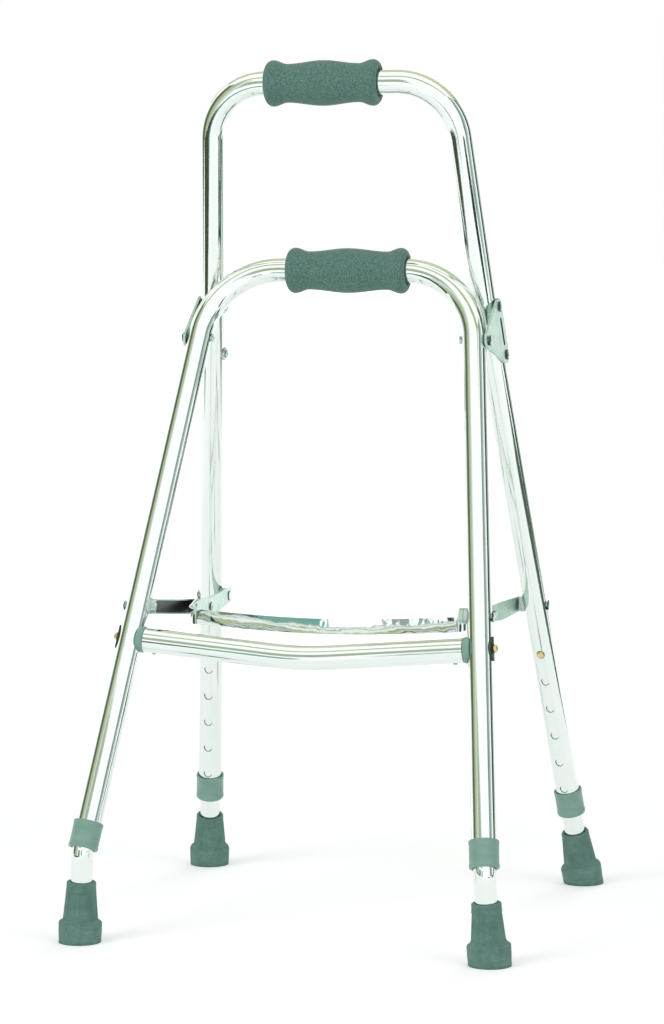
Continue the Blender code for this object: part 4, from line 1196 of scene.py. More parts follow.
@dataclass
class BentFrames(Assembly):
    """The tall and the short bent tube, with the collars on their lower ends."""

    rear_bend: float = 0.055
    set_radius: float = 0.150
    front_bend: float = 0.070
    rear_collar_height: float = 0.0715
    front_collar_height: float = 0.0840
    collar_radius: float = 0.0134
    collar_length: float = 0.0245
    collar_lip: float = 0.0035
    lip_play: float = 0.0008
    row_reach: float = 0.0046
    bolt_reach: float = 0.0032
    drill_play: float = 0.004

    def tube_end(self, leg: Line, height: float) -> Vector:
        """Return where a frame tube ends inside its collar."""
        return leg.along(leg.at(height), self.collar_lip + STOCK.fit)

    def rear_turns(self) -> list[Turn]:
        """Return the tall frame's centre line, with stops at its holes."""
        leg, top = LEGS.rear, LEGS.rear_top
        stops = hole_stops(REAR_ROW.centres, leg, self.row_reach)
        stops += hole_stops([LEGS.lever_end, leg.at(LEGS.plate_rivet_low)], leg, self.bolt_reach)
        right = [Turn(self.tube_end(leg, self.rear_collar_height)), *stops]
        right.append(Turn(leg.at(LEGS.rear_set_height), self.set_radius))
        right += hole_stops([top.at(LEGS.plate_rivet_top)], top, self.bolt_reach)
        right.append(Turn(top.at(LEGS.rear_bar_height), self.rear_bend))
        return mirrored_turns(right)

    def front_turns(self) -> list[Turn]:
        """Return the short frame's centre line, with stops at its holes."""
        leg = LEGS.front
        bolts = [LEGS.link_end, LEGS.pivot, leg.at(LEGS.crossbar_height)]
        right = [Turn(self.tube_end(leg, self.front_collar_height))]
        right += hole_stops(FRONT_ROW.centres, leg, self.row_reach)
        right += hole_stops(bolts, leg, self.bolt_reach)
        right.append(Turn(leg.at(LEGS.front_bar_height), self.front_bend))
        return mirrored_turns(right)

    def drilled(
        self, name: str, turns: Sequence[Turn], row: ButtonRow, bolts: Sequence[tuple[Vector, Vector]]
    ) -> bpy.types.Object:
        """Make a frame tube with its button holes and bolt holes on both sides.

        Args:
            name: the object's name.
            turns: the tube's centre line.
            row: its button holes.
            bolts: the middle and the direction of each bolt hole.

        Returns:
            The drilled tube, with its grain laid.
        """
        tube = bent_tube(name, turns, STOCK.tube_radius, STOCK.tube_wall)
        reach = STOCK.tube_radius + self.drill_play
        drills = row.cutters(self.drill_play, reach)
        for centre, way in bolts:
            drills.append(cylinder("bolt_drill", STOCK.bore, centre - way * reach, centre + way * reach))
        right = join("drills_right", drills)
        left = left_of("drills_left", right)
        combine(tube, [right, left], "DIFFERENCE")
        return lay_grain(soften(tube, TUBE_EDGE), turns)

    def collar(self, name: str, leg: Line, height: float) -> bpy.types.Object:
        """Make a moulded collar, turned with a soft bead at each end and its inner lip."""
        sleeve = STOCK.tube_radius + STOCK.bore_play
        lip = STOCK.extension_radius + self.lip_play
        radius, length = self.collar_radius, self.collar_length
        profile = [
            (sleeve, length - 0.0006),
            (sleeve + 0.0005, length),
            (radius - 0.0006, length),
            (radius - 0.00015, length - 0.0004),
            (radius, length - 0.0010),
            (radius - 0.00010, length - 0.0030),
            (radius - 0.00035, length - 0.0034),
            (radius - 0.00035, 0.0038),
            (radius - 0.00010, 0.0034),
            (radius, 0.0014),
            (radius - 0.00030, 0.0005),
            (radius - 0.0010, 0.0),
            (lip + 0.0005, 0.0),
            (lip, 0.0006),
            (lip, self.collar_lip),
            (sleeve, self.collar_lip),
            (sleeve, length - 0.0006),
        ]
        return smooth(turned(name, profile, aimed(leg.at(height), leg.direction), TUBE_SIDES))

    def build(self) -> None:
        """Make both tubes and the four collars."""
        out = LEGS.plate_out
        bolts = [
            (LEGS.rear.at(LEGS.plate_rivet_low), out),
            (LEGS.rear_top.at(LEGS.plate_rivet_top), out),
            (LEGS.lever_end, X_AXIS),
        ]
        tall = self.drilled("tall_frame", self.rear_turns(), REAR_ROW, bolts)
        self.hand_over(tall, Slot.TUBE, "rear_frame", "rear_frame_tube")
        outer, middle = LEGS.crossbar_axis
        bolts = [(LEGS.pivot, X_AXIS), (LEGS.link_end, X_AXIS), (outer, (outer - middle).normalized())]
        short = self.drilled("short_frame", self.front_turns(), FRONT_ROW, bolts)
        self.hand_over(short, Slot.TUBE, "front_frame", "front_frame_tube")
        for end, leg, height in (
            ("rear", LEGS.rear, self.rear_collar_height),
            ("front", LEGS.front, self.front_collar_height),
        ):
            collar = self.collar(f"{end}_leg_collar", leg, height)
            body = fixed(f"{end}_frame")
            self.pair(collar, Slot.GREY_PLASTIC, body, end + "_collar_{}")


@dataclass
class FoamGrips(Assembly):
    """The two foam grips, each with a flared lip at its ends and a fuller palm."""

    rear_length: float = 0.105
    rear_shift: float = -0.0072
    front_length: float = 0.112
    front_shift: float = 0.0054
    end_radius: float = 0.0208
    waist_radius: float = 0.0174
    palm_radius: float = 0.0204
    end_round: float = 0.0060
    waist_from_end: float = 0.019
    dish_radius: float = 0.0136
    dish_depth: float = 0.0050
    bore_play: float = 0.0008
    bore_round: float = 0.0006
    palm_steps: int = 26
    smooth_angle: float = math.radians(50.0)
    fill: float = 0.95

    def radius_at(self, from_end: float, length: float) -> float:
        """Return a grip's radius at a distance from its nearer end, past its rounded lip."""
        if from_end < self.waist_from_end:
            part = (from_end - self.end_round) / (self.waist_from_end - self.end_round)
            near, far = self.end_radius, self.waist_radius
        else:
            part = (from_end - self.waist_from_end) / (length / 2 - self.waist_from_end)
            near, far = self.waist_radius, self.palm_radius
        return near + (far - near) * (1.0 - math.cos(math.pi * part)) / 2

    def half(self, length: float) -> list[tuple[float, float]]:
        """Return the stations from the bore, over the dish and the lip, to the middle of the palm."""
        bore = STOCK.tube_radius + self.bore_play
        end = length / 2
        rim = bore + self.bore_round
        stations = [(bore, end - self.dish_depth), (rim, end - self.dish_depth + 0.0008)]
        for part in (0.3, 0.6, 0.85, 1.0):
            ease = math.sin(part * math.pi / 2)
            radius = rim + (self.dish_radius - bore - self.bore_round) * part
            stations.append((radius, end - self.dish_depth * (1 - ease)))
        crown = self.end_radius - self.end_round
        for step in range(0, 9):
            angle = math.pi / 2 * step / 8
            stations.append((crown + self.end_round * math.sin(angle), end - self.end_round * (1 - math.cos(angle))))
        for step in range(1, self.palm_steps + 1):
            from_end = self.end_round + (end - self.end_round) * step / self.palm_steps
            stations.append((self.radius_at(from_end, length), end - from_end))
        return stations

    def grip(self, name: str, length: float, shift: float, bar: Vector) -> bpy.types.Object:
        """Make one grip round its bar."""
        half = self.half(length)
        profile = half + [(radius, -height) for radius, height in reversed(half[:-1])] + [half[0]]
        made = turned(name, profile, aimed(Vector((shift, bar.y, bar.z)), X_AXIS), GRIP_SIDES)
        return smooth(made, self.smooth_angle)

    def build(self) -> None:
        """Make both grips."""
        rear = self.grip("tall_grip", self.rear_length, self.rear_shift, LEGS.rear_top.at(LEGS.rear_bar_height))
        self.hand_over(rear, Slot.FOAM, "rear_frame", "rear_grip")
        front = self.grip("short_grip", self.front_length, self.front_shift, LEGS.front.at(LEGS.front_bar_height))
        self.hand_over(front, Slot.FOAM, "front_frame", "front_grip")


@dataclass
class FrameHinge(Assembly):
    """The two hinge plates with their rivets, curved washers and pivots."""

    corner: float = 0.008
    thickness: float = 0.0024
    slot_length: float = 0.027
    slot_width: float = 0.0046
    slot_forward: float = 0.0025
    washer_radius: float = 0.0060
    washer_thickness: float = 0.0013

    def placing(self) -> Matrix:
        """Return the right plate's placing matrix, flat against the outside of the rear leg."""
        out = LEGS.plate_out
        origin = LEGS.rear.at(LEGS.plate_rivet_low) + out * (STOCK.tube_radius + STOCK.fit + self.thickness / 2)
        back = (Vector((0.0, 1.0, 0.0)) - out * out.y).normalized()
        return frame_of(origin, back, out.cross(back))

    def pivot_spot(self) -> Vector:
        """Return where the hinge axis passes the middle of the right plate."""
        placing = self.placing()
        out = placing.to_3x3() @ Z_AXIS
        return LEGS.pivot + X_AXIS * ((placing.translation - LEGS.pivot).dot(out) / out.x)

    def plate(self) -> bpy.types.Object:
        """Make the right plate: three rounded corners wrapped into one sheet, drilled and slotted, with the slot's
        walls painted dark as shade.
        """
        placing = self.placing()
        into = placing.inverted()
        spots = [LEGS.rear.at(LEGS.plate_rivet_low), LEGS.rear_top.at(LEGS.plate_rivet_top), self.pivot_spot()]
        low, top, pivot = [Vector(((into @ spot).x, (into @ spot).y, 0.0)) for spot in spots]
        half = Z_AXIS * self.thickness / 2
        corners = [cylinder("corner", self.corner, spot - half, spot + half, PLATE_SIDES) for spot in (low, top, pivot)]
        plate = hull("hinge_sheet", corners)
        drills = [cylinder("drill", STOCK.bore, spot - half * 3, spot + half * 3) for spot in (low, top)]
        drills.append(cylinder("drill", STOCK.bore + STOCK.fit, pivot - half * 3, pivot + half * 3))
        run = (top - low).normalized() * (self.slot_length - self.slot_width) / 2
        forward = (pivot - low) - run * (pivot - low).dot(run) / run.length_squared
        middle = (low + top) / 2 + forward.normalized() * self.slot_forward
        ends = [
            cylinder("slot_end", self.slot_width / 2, middle + way - half * 3, middle + way + half * 3, 24)
            for way in (run, -run)
        ]
        drills.append(hull("slot", ends))
        combine(plate, drills, "DIFFERENCE")
        soften(plate, SHEET_EDGE)

        def in_slot(co: Vector, normal: Vector) -> bool:
            """Tell the walls of the slot, which get the dark finish as painted shade."""
            away = co - middle
            across = away - run * away.dot(run) / run.length_squared
            near = away.length < self.slot_length * 0.52 and across.to_2d().length < self.slot_width * 0.6
            return near and abs(normal.z) < 0.9

        return place(self.line_inside(plate, Slot.PLATE, in_slot), placing)

    def build(self) -> None:
        """Make both hinges."""
        rear = fixed("rear_frame")
        self.pair(self.plate(), Slot.PLATE, rear, "hinge_plate_{}")
        out = LEGS.plate_out
        near = STOCK.tube_radius + STOCK.fit
        seat = near + self.thickness + STOCK.fit
        far = near + self.washer_thickness + STOCK.fit
        rows = (("low", LEGS.rear, LEGS.plate_rivet_low), ("top", LEGS.rear_top, LEGS.plate_rivet_top))
        for level, line, height in rows:
            centre = line.at(height)
            rivet = RIVET.build(f"{level}_plate_rivet", centre + out * seat, out, seat + far)
            # The foot of the rivet head gets the dark finish as painted shade.
            self.line_inside(rivet, Slot.ZINC, RIVET.rim(centre + out * seat, out))
            self.pair(rivet, Slot.ZINC, rear, "plate_rivet_" + level + "_{}")
            disc = washer(
                f"{level}_saddle_disc", self.washer_radius, near - 0.0035, near + self.washer_thickness,
                aimed(centre, -out), STOCK.bore,
            )
            combine(disc, [saddle_bar(line, centre, near)], "DIFFERENCE")
            self.pair(smooth(disc), Slot.ZINC, rear, "rivet_washer_" + level + "_{}")
        self.build_pivots()

    def build_pivots(self) -> None:
        """Make the rivets that the short frame swings on."""
        out = LEGS.plate_out
        plate_x = self.pivot_spot().x
        slope = math.hypot(out.y, out.z) / out.x
        seat = plate_x + self.thickness / 2 + RIVET.head_radius * slope + STOCK.fit
        inner = LEGS.pivot.x - STOCK.tube_radius - STOCK.fit * 3
        spot = Vector((seat, LEGS.pivot.y, LEGS.pivot.z))
        pin = RIVET.build("frame_pivot", spot, X_AXIS, seat - inner)
        # The foot of the pivot's head gets the dark finish as painted shade.
        self.line_inside(pin, Slot.ZINC, RIVET.rim(spot, X_AXIS))
        self.pair(pin, Slot.ZINC, fixed("front_frame"), "pivot_rivet_{}")


@dataclass
class Crossbar(Assembly):
    """The bent bar between the short frame's legs, with its saddle caps, bolts and small screws."""

    bend: float = 0.300
    setback: float = 0.0144
    cap_radius: float = 0.0117
    saddle_depth: float = 0.0080
    plug_length: float = 0.0150
    washer_radius: float = 0.0070
    washer_length: float = 0.0220
    washer_thickness: float = 0.0012
    bolt_head_radius: float = 0.0037
    bolt_head_height: float = 0.0034
    screw_from_end: float = 0.0085
    screw_radius: float = 0.0014
    screw_head_radius: float = 0.0023
    screw_head_height: float = 0.0012
    screw_length: float = 0.0055
    recess_width: float = 0.0005

    def screw_seat(self) -> tuple[Vector, Vector]:
        """Return the point on the bar's axis above the right cap screw, and the way the screw points."""
        outer, middle = LEGS.crossbar_axis
        inward = (middle - outer).normalized()
        down = (-Z_AXIS + inward * inward.z).normalized()
        return outer + inward * (self.setback + self.screw_from_end), down

    def leg_bar(self, radius: float) -> bpy.types.Object:
        """Return a bar round the right leg, to cut the saddles with."""
        return saddle_bar(LEGS.front, LEGS.crossbar_axis[0], radius, 0.04)

    def beam(self) -> bpy.types.Object:
        """Make the bar, with the holes of its two screws."""
        outer, middle = LEGS.crossbar_axis
        end = outer + (middle - outer).normalized() * self.setback
        turns = [Turn(end), Turn(middle, self.bend), Turn(MIRROR @ end)]
        beam = bent_tube("cross_bar", turns, STOCK.tube_radius, STOCK.tube_wall)
        spot, down = self.screw_seat()
        right = cylinder("drill", self.screw_radius + STOCK.bore_play, spot, spot + down * (STOCK.tube_radius + 0.003))
        combine(beam, [right, left_of("drill_left", right)], "DIFFERENCE")
        return lay_grain(soften(beam, TUBE_EDGE), turns)

    def cap(self) -> bpy.types.Object:
        """Make the right saddle cap: a plug for the bar and a cheek shaped to the leg."""
        outer, middle = LEGS.crossbar_axis
        plug = STOCK.tube_radius - STOCK.tube_wall - STOCK.bore_play - 0.0002
        face = self.setback - STOCK.fit
        tip = face + self.plug_length
        radius = self.cap_radius
        profile = [
            (STOCK.bore, tip),
            (plug - 0.0008, tip),
            (plug, tip - 0.0008),
            (plug, face),
            (radius - 0.0012, face),
            (radius - 0.0004, face - 0.0003),
            (radius, face - 0.0011),
            (radius, self.saddle_depth),
            (STOCK.bore, self.saddle_depth),
            (STOCK.bore, tip),
        ]
        cap = turned("bar_cap", profile, aimed(outer, middle - outer), TUBE_SIDES)
        combine(cap, [self.leg_bar(STOCK.tube_radius + STOCK.fit)], "DIFFERENCE")
        spot, down = self.screw_seat()
        inner = STOCK.tube_radius - self.screw_length - 0.001
        pocket = cylinder("pocket", self.screw_radius + STOCK.bore_play, spot + down * inner, spot + down * 0.014)
        combine(cap, [pocket], "DIFFERENCE")
        return soften(cap, SHEET_EDGE)

    def saddle(self) -> bpy.types.Object:
        """Make the right saddle washer, a long oval pressed round the outside of the leg."""
        outer, middle = LEGS.crossbar_axis
        inward = (middle - outer).normalized()
        near = STOCK.tube_radius + STOCK.fit
        up_leg = (LEGS.front.direction - inward * LEGS.front.direction.dot(inward)).normalized()
        stretch = Matrix.Diagonal((self.washer_length / (2 * self.washer_radius), 1.0, 1.0, 1.0))
        placing = frame_of(outer, up_leg, up_leg.cross(inward)) @ stretch
        height = near + self.washer_thickness
        profile = [
            (STOCK.bore, near * 0.5),
            (self.washer_radius, near * 0.5),
            (self.washer_radius, height + STOCK.fit),
            (STOCK.bore, height + STOCK.fit),
            (STOCK.bore, near * 0.5),
        ]
        saddle = turned("leg_saddle", profile, placing)
        combine(face_out(saddle), [self.leg_bar(height)], "INTERSECT")
        combine(saddle, [self.leg_bar(near)], "DIFFERENCE")
        return soften(saddle, 0.0002)

    def screw(self) -> bpy.types.Object:
        """Make the right cap screw, with a cross recess in its pan head."""
        spot, down = self.screw_seat()
        head = self.screw_head_radius, self.screw_head_height
        pan = Fastener(*head, self.screw_radius, self.screw_radius * 0.7, 0.0006)
        seat = spot + down * (STOCK.tube_radius + STOCK.fit)
        screw = pan.build("cap_screw", Vector(), Z_AXIS, self.screw_length)
        reach = self.screw_head_radius * 0.55
        deep, top = self.screw_head_height * 0.4, self.screw_head_height * 2
        half = self.recess_width / 2
        cross = [
            block("recess", Vector((-reach, -half, deep)), Vector((reach, half, top))),
            block("recess", Vector((-half, -reach, deep)), Vector((half, reach, top))),
        ]
        combine(screw, cross, "DIFFERENCE")
        return place(smooth(screw), aimed(seat, down))

    def build(self) -> None:
        """Make the bar and everything at its ends."""
        front = fixed("front_frame")
        self.hand_over(self.beam(), Slot.TUBE, "front_frame", "crossbar")
        self.pair(self.cap(), Slot.GREY_PLASTIC, front, "crossbar_cap_{}")
        self.pair(self.saddle(), Slot.DARK, front, "saddle_washer_{}")
        self.pair(self.screw(), Slot.ZINC, front, "crossbar_screw_{}")
        outer, middle = LEGS.crossbar_axis
        inward = (middle - outer).normalized()
        seat = STOCK.tube_radius + self.washer_thickness + STOCK.fit * 2
        length = seat + self.setback - STOCK.fit + self.plug_length - 0.004
        bolt = Fastener(self.bolt_head_radius, self.bolt_head_height, STOCK.bolt_radius, STOCK.bolt_radius * 0.8, 0.001)
        made = bolt.build("bar_bolt", outer - inward * seat, -inward, length)
        self.pair(made, Slot.BRASS, front, "crossbar_bolt_{}")


@dataclass
class FoldingLinkage(Assembly):
    """The links on the short frame, the levers on the tall one, and the bail strip across the levers."""

    link_standoff: float = 0.0025
    link_wall: float = 0.0012
    link_half_height: float = 0.0069
    link_depth: float = 0.0042
    link_flange: float = 0.0013
    link_open_length: float = 0.032
    lever_standoff: float = 0.0049
    lever_tilt: float = 5.14
    lever_thickness: float = 0.0018
    lever_tail: float = 0.012
    lever_back: tuple[Corner, ...] = ((-0.006, 0.001, 0.006), (-0.006, -0.001, 0.006), (0.050, -0.00025, 0.00855))
    lever_knee: Corner = (LEGS.lever_length, 0.00085, 0.00745)
    lever_nose: tuple[Corner, ...] = ((0.118, 0.0068, 0.0057), (0.15493, 0.00984, 0.0008))
    knee_gap: float = 0.0014
    knee_head_radius: float = 0.0042
    knee_head_height: float = 0.0010
    spacer_radius: float = 0.0070
    strip_height: float = 0.014
    strip_thickness: float = 0.0016
    strip_tail: tuple[float, float] = (0.1245, 0.0072)
    strip_corner: tuple[float, float] = (0.1635, 0.0019)
    strip_corner_radius: float = 0.010
    strip_sag: float = 0.0071
    strip_bow: float = 0.0070
    strip_bow_radius: float = 1.0
    strip_step: float = math.radians(0.75)
    strip_rivet: tuple[float, float] = (0.141, 0.0088)
    strip_rivet_radius: float = 0.0010
    strip_rivet_head_radius: float = 0.0019
    strip_rivet_head_height: float = 0.0008

    @property
    def tilt(self) -> float:
        """The lever's lean inward, in radians."""
        return math.radians(self.lever_tilt)

    def stack(self) -> tuple[float, float, float]:
        """Return the x of the lever's outer face at the knee, and of the link's at knee and leg."""
        fall = math.tan(self.tilt) * LEGS.lever_length
        lever = LEGS.lever_end.x - STOCK.tube_radius - self.lever_standoff - fall
        link = lever + self.knee_gap + self.link_wall
        return lever, link, LEGS.link_end.x - STOCK.tube_radius - self.link_standoff

    def lever_placing(self) -> Matrix:
        """Return the right lever's placing: its outer face at the pivot, X to the knee, Z inward."""
        knee, end = LEGS.knee, LEGS.lever_end
        run = Vector((0.0, knee.y - end.y, knee.z - end.z)).normalized()
        up = Vector((0.0, run.z, -run.y))
        along = run * math.cos(self.tilt) - X_AXIS * math.sin(self.tilt)
        origin = Vector((end.x - STOCK.tube_radius - self.lever_standoff, end.y, end.z))
        return frame_of(origin, along, up)

    def lever_spot(self, from_pivot: float, rise: float, inward: float = 0.0) -> Vector:
        """Return the point of the right lever at a distance from its pivot, a rise and a depth inward."""
        return self.lever_placing() @ Vector((from_pivot / math.cos(self.tilt), rise, inward))

    def lever(self) -> bpy.types.Object:
        """Make the right lever: two wrapped sheets, fused at the knee, with its stud's inner head."""
        stretch = 1.0 / math.cos(self.tilt)
        thick = Z_AXIS * self.lever_thickness

        def corner(along: float, rise: float, radius: float) -> bpy.types.Object:
            """Return one rounded corner of the sheet."""
            spot = Vector((along * stretch, rise, 0.0))
            return cylinder("corner", radius, spot, spot + thick, PLATE_SIDES)

        back = hull("lever_back", [corner(*spot) for spot in (*self.lever_back, self.lever_knee)])
        nose = hull("lever_nose", [corner(*spot) for spot in (self.lever_knee, *self.lever_nose)])
        lever = combine(back, [nose], "UNION")
        hole = Vector((LEGS.lever_length * stretch, 0.0, 0.0))
        small = Vector((self.strip_rivet[0] * stretch, self.strip_rivet[1], 0.0))
        reach = Z_AXIS * 0.005
        drills = [
            cylinder("drill", STOCK.bore, hole - reach, hole + reach),
            cylinder("drill", self.strip_rivet_radius + STOCK.bore_play, small - reach, small + reach),
        ]
        combine(lever, drills, "DIFFERENCE")
        soften(lever, SHEET_EDGE)
        height = RIVET.head_height * 0.6
        foot = [(0.0, 0.0004), (RIVET.head_radius, 0.0004)]
        stud = turned("lever_stud", foot + dome(RIVET.head_radius, height - 0.0002, self.lever_thickness + 0.0002),
                      Matrix.Identity(4))
        smooth(stud)
        lever.data.materials.append(self.finishes[Slot.PLATE])

        def at_rim(co: Vector, normal: Vector) -> bool:
            """Tell the low faces of the stud's head, which get the dark finish as painted shade."""
            return co.to_2d().length > RIVET.head_radius * 0.85

        self.line_inside(stud, Slot.ZINC, at_rim)
        return place(join("lever_arm", [lever, stud]), self.lever_placing())

    def link(self) -> bpy.types.Object:
        """Make the right link, a channel open to the lever, its flanges cut back where the lever folds, its inside
        painted dark as shade.
        """
        _, knee_x, leg_x = self.stack()
        start = Vector((leg_x, LEGS.link_end.y, LEGS.link_end.z))
        end = Vector((knee_x, LEGS.knee.y, LEGS.knee.z))
        length = (end - start).length
        along = (end - start).normalized()
        up = Vector((0.0, -along.z, along.y)).normalized()
        half, depth = self.link_half_height, self.link_depth
        low, near = Vector((0.0, 0.0, -depth)), Vector((length, 0.0, 0.0))
        ends = [cylinder("corner", half, spot + low, spot, PLATE_SIDES) for spot in (Vector(), near)]
        link = hull("link_channel", ends)
        inside, flange_end = half - self.link_flange, length - self.link_open_length
        floor, under = -self.link_wall, -depth - 0.002
        wide = half * 2
        gap = 0.0001
        trough = hull("trough", [
            cylinder("corner", inside, Vector((0.0, 0.0, under)), Vector((0.0, 0.0, floor)), PLATE_SIDES),
            block("mouth", Vector((flange_end - gap, -inside, under)), Vector((flange_end, inside, floor))),
        ])
        flare = hull("flare", [
            block("mouth", Vector((flange_end - gap, -inside, under)), Vector((flange_end, inside, floor))),
            block("clear", Vector((flange_end + half, -wide, under)), Vector((length + wide, wide, floor))),
        ])
        reach = Z_AXIS * 0.006
        drills = [cylinder("drill", STOCK.bore, spot - reach, spot + reach) for spot in (Vector(), near)]
        combine(link, [trough, flare, *drills], "DIFFERENCE")
        soften(link, 0.00025)

        def in_channel(co: Vector, normal: Vector) -> bool:
            """Tell the floor and the inner walls of the channel, which get the dark finish as painted shade."""
            if normal.z < -0.9:
                return co.z > -depth * 0.5
            wall = abs(normal.z) < 0.5 and abs(co.y) < inside + gap
            return wall and normal.y * co.y < 0.0 and co.z > 0.0004 - depth

        return place(self.line_inside(link, Slot.PLATE, in_channel), frame_of(start, along, up))

    def knee_pin(self) -> bpy.types.Object:
        """Make the right knee rivet, which passes along X through lever and link."""
        lever_x, link_x, leg_x = self.stack()
        lever_slope = math.tan(self.tilt) * self.knee_head_radius
        link_slope = (leg_x - link_x) / (LEGS.knee - LEGS.link_end).length * self.knee_head_radius
        outer = link_x + link_slope + STOCK.fit
        inner = lever_x - self.lever_thickness - lever_slope - STOCK.fit
        head = self.knee_head_radius, self.knee_head_height
        pin = Fastener(*head, STOCK.bolt_radius, *head)
        seat = Vector((outer, LEGS.knee.y, LEGS.knee.z))
        made = pin.build("knee_pin", seat, X_AXIS, outer - inner)

        def at_rim(co: Vector, normal: Vector) -> bool:
            """Tell the edges of both heads, which get the dark finish as painted shade."""
            return Vector((co.y - seat.y, co.z - seat.z)).length > self.knee_head_radius * 0.8

        return self.line_inside(made, Slot.ZINC, at_rim)

    def strip(self) -> bpy.types.Object:
        """Make the bail strip along its bowed and sagging line."""
        outside = -STOCK.fit - self.strip_thickness / 2
        tail = self.lever_spot(*self.strip_tail, outside)
        corner = self.lever_spot(*self.strip_corner, outside)
        middle = Vector((0.0, corner.y - self.strip_bow, corner.z - self.strip_sag))
        turns = [
            Turn(tail),
            Turn(corner, self.strip_corner_radius),
            Turn(middle, self.strip_bow_radius),
            Turn(MIRROR @ corner, self.strip_corner_radius),
            Turn(MIRROR @ tail),
        ]
        points = rounded(turns, self.strip_step)
        strip = ribbon("bail", points, Z_AXIS, self.strip_height, self.strip_thickness)
        return soften(strip, 0.0002)

    def build(self) -> None:
        """Make the linkage of both sides and the strip that joins them."""
        bail, front, rear = fixed("bail"), fixed("front_frame"), fixed("rear_frame")
        self.pair(self.link(), Slot.PLATE, lambda side: "link_" + side.word, "link_{}")
        self.pair(self.lever(), Slot.PLATE, bail, "lever_{}")
        self.pair(self.knee_pin(), Slot.ZINC, bail, "knee_rivet_{}")
        self.hand_over(self.strip(), Slot.STRIP, "bail", "bail_strip")
        out = -(self.lever_placing().to_3x3() @ Z_AXIS)
        seat = STOCK.fit + self.strip_thickness + STOCK.fit
        head = self.strip_rivet_head_radius, self.strip_rivet_head_height
        pin = Fastener(*head, self.strip_rivet_radius, *head)
        spot = self.lever_spot(*self.strip_rivet) + out * seat
        made = pin.build("strip_pin", spot, out, seat + self.lever_thickness + STOCK.fit)
        self.pair(made, Slot.ZINC, bail, "bail_rivet_{}")
        self.build_link_ends(front)
        self.build_lever_ends(rear)

    def standoff(self, name: str, leg: Line, end: Vector, reach: float) -> bpy.types.Object:
        """Make the spacer that fits round a leg, out to a distance from the leg's centre line."""
        spacer = washer(name, self.spacer_radius, STOCK.tube_radius * 0.5, reach, aimed(end, -X_AXIS), STOCK.bore)
        combine(spacer, [saddle_bar(leg, end, STOCK.tube_radius + STOCK.fit)], "DIFFERENCE")
        return smooth(spacer)

    def build_link_ends(self, front: Callable[[Side], str]) -> None:
        """Make the bolts and spacers that the links turn on."""
        _, knee_x, leg_x = self.stack()
        end = LEGS.link_end
        slope = (leg_x - knee_x) / (LEGS.knee - end).length
        side = math.tan(math.radians(LEGS.front_splay))
        outer = end.x + STOCK.tube_radius + side * RIVET.head_radius + STOCK.fit
        inner = leg_x - self.link_wall - slope * RIVET.foot_radius - STOCK.fit
        seat = Vector((outer, end.y, end.z))
        bolt = RIVET.build("link_bolt", seat, X_AXIS, outer - inner)
        # The foot of the bolt head gets the dark finish as painted shade.
        self.line_inside(bolt, Slot.ZINC, RIVET.rim(seat, X_AXIS))
        self.pair(bolt, Slot.ZINC, front, "link_pivot_bolt_{}")
        near = end.x - leg_x - slope * self.spacer_radius - STOCK.fit
        spacer = self.standoff("link_standoff", LEGS.front, end, near)
        self.pair(spacer, Slot.PALE_PLASTIC, front, "link_spacer_{}")

    def build_lever_ends(self, rear: Callable[[Side], str]) -> None:
        """Make the bolts and saddle spacers that the levers turn on."""
        end = LEGS.lever_end
        side = math.tan(math.radians(LEGS.rear_splay))
        outer = end.x + STOCK.tube_radius + side * RIVET.head_radius + STOCK.fit
        face = STOCK.tube_radius + self.lever_standoff - math.tan(self.tilt) * self.lever_tail - STOCK.fit
        plain = Fastener(RIVET.head_radius, RIVET.head_height, STOCK.bolt_radius, STOCK.bolt_radius * 0.9, 0.0002, 0.2)
        seat = Vector((outer, end.y, end.z))
        bolt = plain.build("lever_bolt", seat, X_AXIS, outer - end.x + face - 0.0002)
        # The foot of the bolt head gets the dark finish as painted shade.
        self.line_inside(bolt, Slot.ZINC, plain.rim(seat, X_AXIS))
        self.pair(bolt, Slot.ZINC, rear, "lever_pivot_bolt_{}")
        spacer = self.standoff("lever_standoff", LEGS.rear, end, face)
        self.pair(spacer, Slot.PALE_PLASTIC, rear, "lever_spacer_{}")


